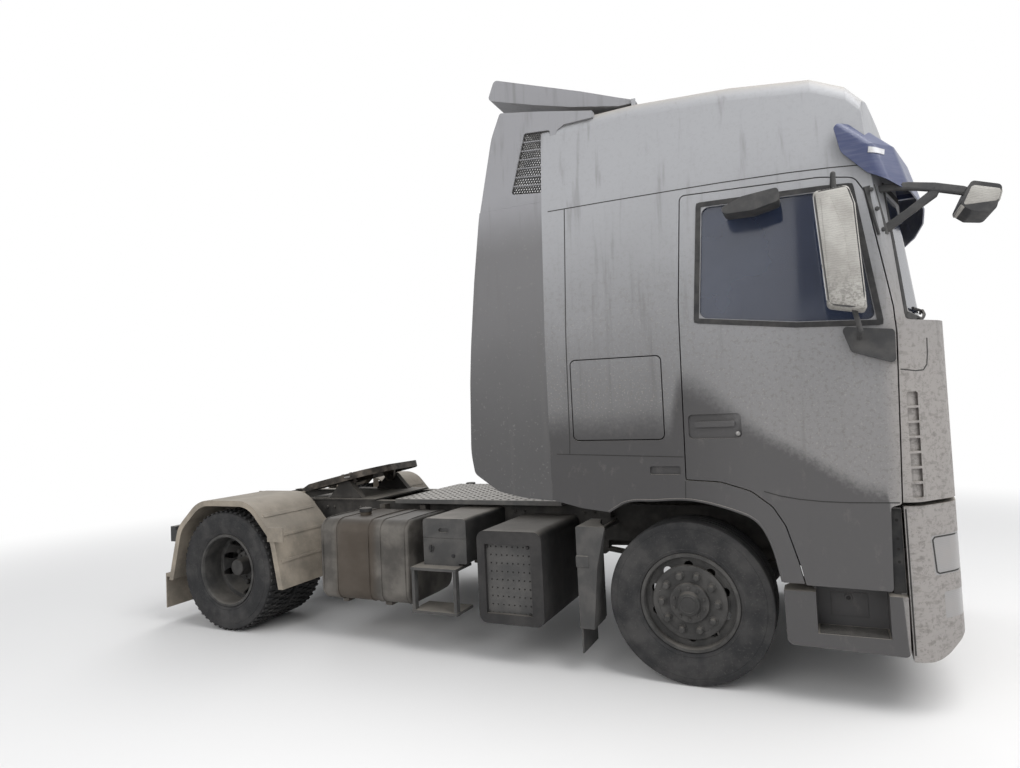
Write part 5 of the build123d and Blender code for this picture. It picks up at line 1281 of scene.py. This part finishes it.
# The rear lamps' lenses: name, finish, and their sides along Y on the right
REAR_LENSES = (
    ("tail_red", "lamp_red", -1.142, -0.985),
    ("tail_amber", "lamp_amber", -0.977, -0.900),
    ("tail_clear", "lamp_clear", -0.892, -0.808),
)
LAMP_BACK = REAR_AXLE_X - 0.760
# The net's opening in millimetres: rear and front ends (x, z) of its foot and head
NET_FOOT = ((-1054, 3213), (-829, 3185))
NET_HEAD = ((-955, 3643), (-759, 3624))
# Bars counted from the opening's rear end, with more at both ends than reach it, their spacing and lean as
# shares of its width, and the shortest share of a bar that is kept
BARS = range(-14, 25)
BAR_STEP = 0.085
BAR_LEAN = 1.15
SHORTEST = 0.04
# The deflector's wall in millimetres: y at its foot, that foot's height, how far it leans in over how much
# rise, and how far inside it the net lies
WALL_Y, WALL_FOOT, WALL_LEAN, WALL_RISE = 1197, 3050, 92, 850
NET_INSET = 12


class TRUCK_OT_tail(bpy.types.Operator):
    """Add the rear lamps' lenses and the deflector's net"""

    bl_idname = "truck.tail"
    bl_label = "Tail"

    def execute(self, context):
        for name, finish, y_low, y_high in REAR_LENSES:
            lens = slab(name, (LAMP_BACK - 0.007, y_low, 0.710), (LAMP_BACK + 0.004, y_high, 0.824), 0.005, 3)
            both_fitted(lens, name, finish, "chassis")
        self.net()
        return {"FINISHED"}

    def net(self):
        """Crossed bars over the slanted opening beside the roof."""
        bars = []
        for way in (-1, 1):
            for i in BARS:
                foot = i * BAR_STEP
                ends = self.clipped((foot, 0.0), (foot + way * BAR_LEAN, 1.0))
                if ends:
                    line = [self.place(u, v) for u, v in ends]
                    bars.append(tube("bar", line, 0.0055, smooth=False, sides=0))
        both_fitted(joined(bars), "deflector_net", "dark_moulding", "cab", 0)

    def clipped(self, start, end):
        """The part of a line that lies between the opening's sides, or nothing."""
        (u_low, v_low), (u_high, v_high) = start, end
        shares = sorted((edge - u_low) / (u_high - u_low) for edge in (0.0, 1.0))
        first, last = max(0.0, shares[0]), min(1.0, shares[1])
        if last - first < SHORTEST:
            return None
        return [(u_low + (u_high - u_low) * s, v_low + (v_high - v_low) * s) for s in (first, last)]

    def place(self, u, v):
        """A point of the net from its shares of the opening's width and height."""
        low, high = [[near + (far - near) * u for near, far in zip(*edge)] for edge in (NET_FOOT, NET_HEAD)]
        x, z = (a + (b - a) * v for a, b in zip(low, high))
        return at(x, -(WALL_Y - (z - WALL_FOOT) * WALL_LEAN / WALL_RISE - NET_INSET), z)


# Inside the cab

# The seats' middles in millimetres, their backs' lean in degrees, and their sewn seams in metres
SEATS_Y = (-605, 605)
SEAT_LEAN = -9.5
SEAM_WIDTH = 0.012
SEAM_DEPTH = 0.012


class TRUCK_OT_cabin(bpy.types.Operator):
    """Upholster the seats and the bunk, and fit out the dashboard"""

    bl_idname = "truck.cabin"
    bl_label = "Cabin"

    def execute(self, context):
        pads = []
        bases = []
        for y in SEATS_Y:
            low, high = at(126, y - 252, 1500), at(688, y + 252, 1640)
            pads.append(self.pad("cushion", low, high, 0.024, (0.30, 0.70)))
            rest = self.pad("rest", (-0.085, -0.242, 0.0), (0.085, 0.242, 0.665), 0.022, (0.28, 0.72))
            lean = Matrix.Translation(at(90, y, 1628)) @ Matrix.Rotation(math.radians(SEAT_LEAN), 4, "Y")
            pads.append(copied(rest, [lean]))
            pads.append(self.pad("head_rest", at(-56, y - 138, 2300), at(72, y + 138, 2462), 0.016, ()))
            bases.append(slab("base", at(160, y - 108, 1162), at(612, y + 108, 1500), 0.02, 3))
            for stalk_y in (y - 50, y + 50):
                bases.append(tube("stalk", [at(0, stalk_y, 2250), at(8, stalk_y, 2330)], 0.008))
        low, high = at(-780, -1155, 1455), at(-135, 1155, 1632)
        pads.append(self.pad("mattress", low, high, 0.02, (0.25, 0.5, 0.75)))
        padding = fitted(joined(pads, "seat_padding"), "seat_weave", "cab", 60)
        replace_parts(padding, "seats")
        fitted(joined(bases, "seat_bases"), "dark_moulding", "cab")
        outline = ((940, 1990), (1040, 2060), (1120, 2060), (1120, 2000))
        hood = plate("instrument_hood", on_side(800, outline), (0, -0.39, 0), 0.012)
        vents = [slab("vent", at(952, y, 1840), at(972, y + 150, 1900), 0.006, 2)
                 for y in (-900, -180, 20, 950)]
        fitted(joined([hood, *vents], "dash_fittings"), "black_rubber", "cab")
        return {"FINISHED"}

    def pad(self, name, low, high, crown, channels):
        """A box that swells between its seams: crowned on every face, pinched along sewn channels."""
        piece = slab(name, low, high, 0.030, 3)
        take(piece)
        edit_all()
        bpy.ops.mesh.subdivide(number_cuts=11)
        bpy.ops.object.mode_set(mode="OBJECT")
        low, high = Vector(low), Vector(high)
        middle, half = (low + high) / 2, (high - low) / 2
        for vertex in piece.data.vertices:
            share = [max(-1.0, min(1.0, (vertex.co[i] - middle[i]) / half[i])) for i in range(3)]
            bulge = [crown * (1 - share[i - 2] ** 2) * (1 - share[i - 1] ** 2) for i in range(3)]
            across = (share[1] + 1) / 2
            pinch = sum(math.exp(-((across - place) * half.y * 2 / SEAM_WIDTH) ** 2) for place in channels)
            for i in range(3):
                sewn = 0 if i == 1 else share[i] ** 5 * SEAM_DEPTH * pinch
                vertex.co[i] += share[i] ** 5 * (bulge[i] - crown) - sewn
        piece.data.update()
        return piece


class TRUCK_PT_dresser(bpy.types.Panel):
    """Lists the builders in the order in which they run"""

    bl_label = "Tractor Unit"
    bl_idname = "TRUCK_PT_dresser"
    bl_space_type = "VIEW_3D"
    bl_region_type = "UI"
    bl_category = "Truck"

    def draw(self, context):
        for group in SETTINGS:
            settings = getattr(context.scene, group)
            box = self.layout.box()
            for name in settings.bl_rna.properties.keys():
                if name not in ("rna_type", "name"):
                    box.prop(settings, name)
        for operator in BUILDERS:
            self.layout.operator(operator.bl_idname)


SETTINGS = {
    "truck_stage": StageSettings,
    "truck_dirt": DirtSettings,
    "truck_tyres": TyreSettings,
    "truck_trim": TrimSettings,
}
BUILDERS = (
    TRUCK_OT_stage, TRUCK_OT_finishes, TRUCK_OT_tyres, TRUCK_OT_wheel_fittings, TRUCK_OT_cab_trim,
    TRUCK_OT_mirror_trim, TRUCK_OT_front_trim, TRUCK_OT_step_fittings, TRUCK_OT_box_fittings,
    TRUCK_OT_chassis_fittings, TRUCK_OT_tail, TRUCK_OT_cabin,
)


def register():
    for group in (*SETTINGS.values(), *BUILDERS, TRUCK_PT_dresser):
        bpy.utils.register_class(group)
    for name, group in SETTINGS.items():
        setattr(bpy.types.Scene, name, bpy.props.PointerProperty(type=group))


def unregister():
    for name in SETTINGS:
        delattr(bpy.types.Scene, name)
    for group in (TRUCK_PT_dresser, *reversed(BUILDERS), *reversed(SETTINGS.values())):
        bpy.utils.unregister_class(group)


def main():
    register()
    bpy.ops.truck.stage()
    bpy.ops.truck.finishes()
    bpy.ops.truck.tyres()
    bpy.ops.truck.wheel_fittings()
    bpy.ops.truck.cab_trim()
    bpy.ops.truck.mirror_trim()
    bpy.ops.truck.front_trim()
    bpy.ops.truck.step_fittings()
    bpy.ops.truck.box_fittings()
    bpy.ops.truck.chassis_fittings()
    bpy.ops.truck.tail()
    bpy.ops.truck.cabin()


if __name__ == "__main__":
    main()
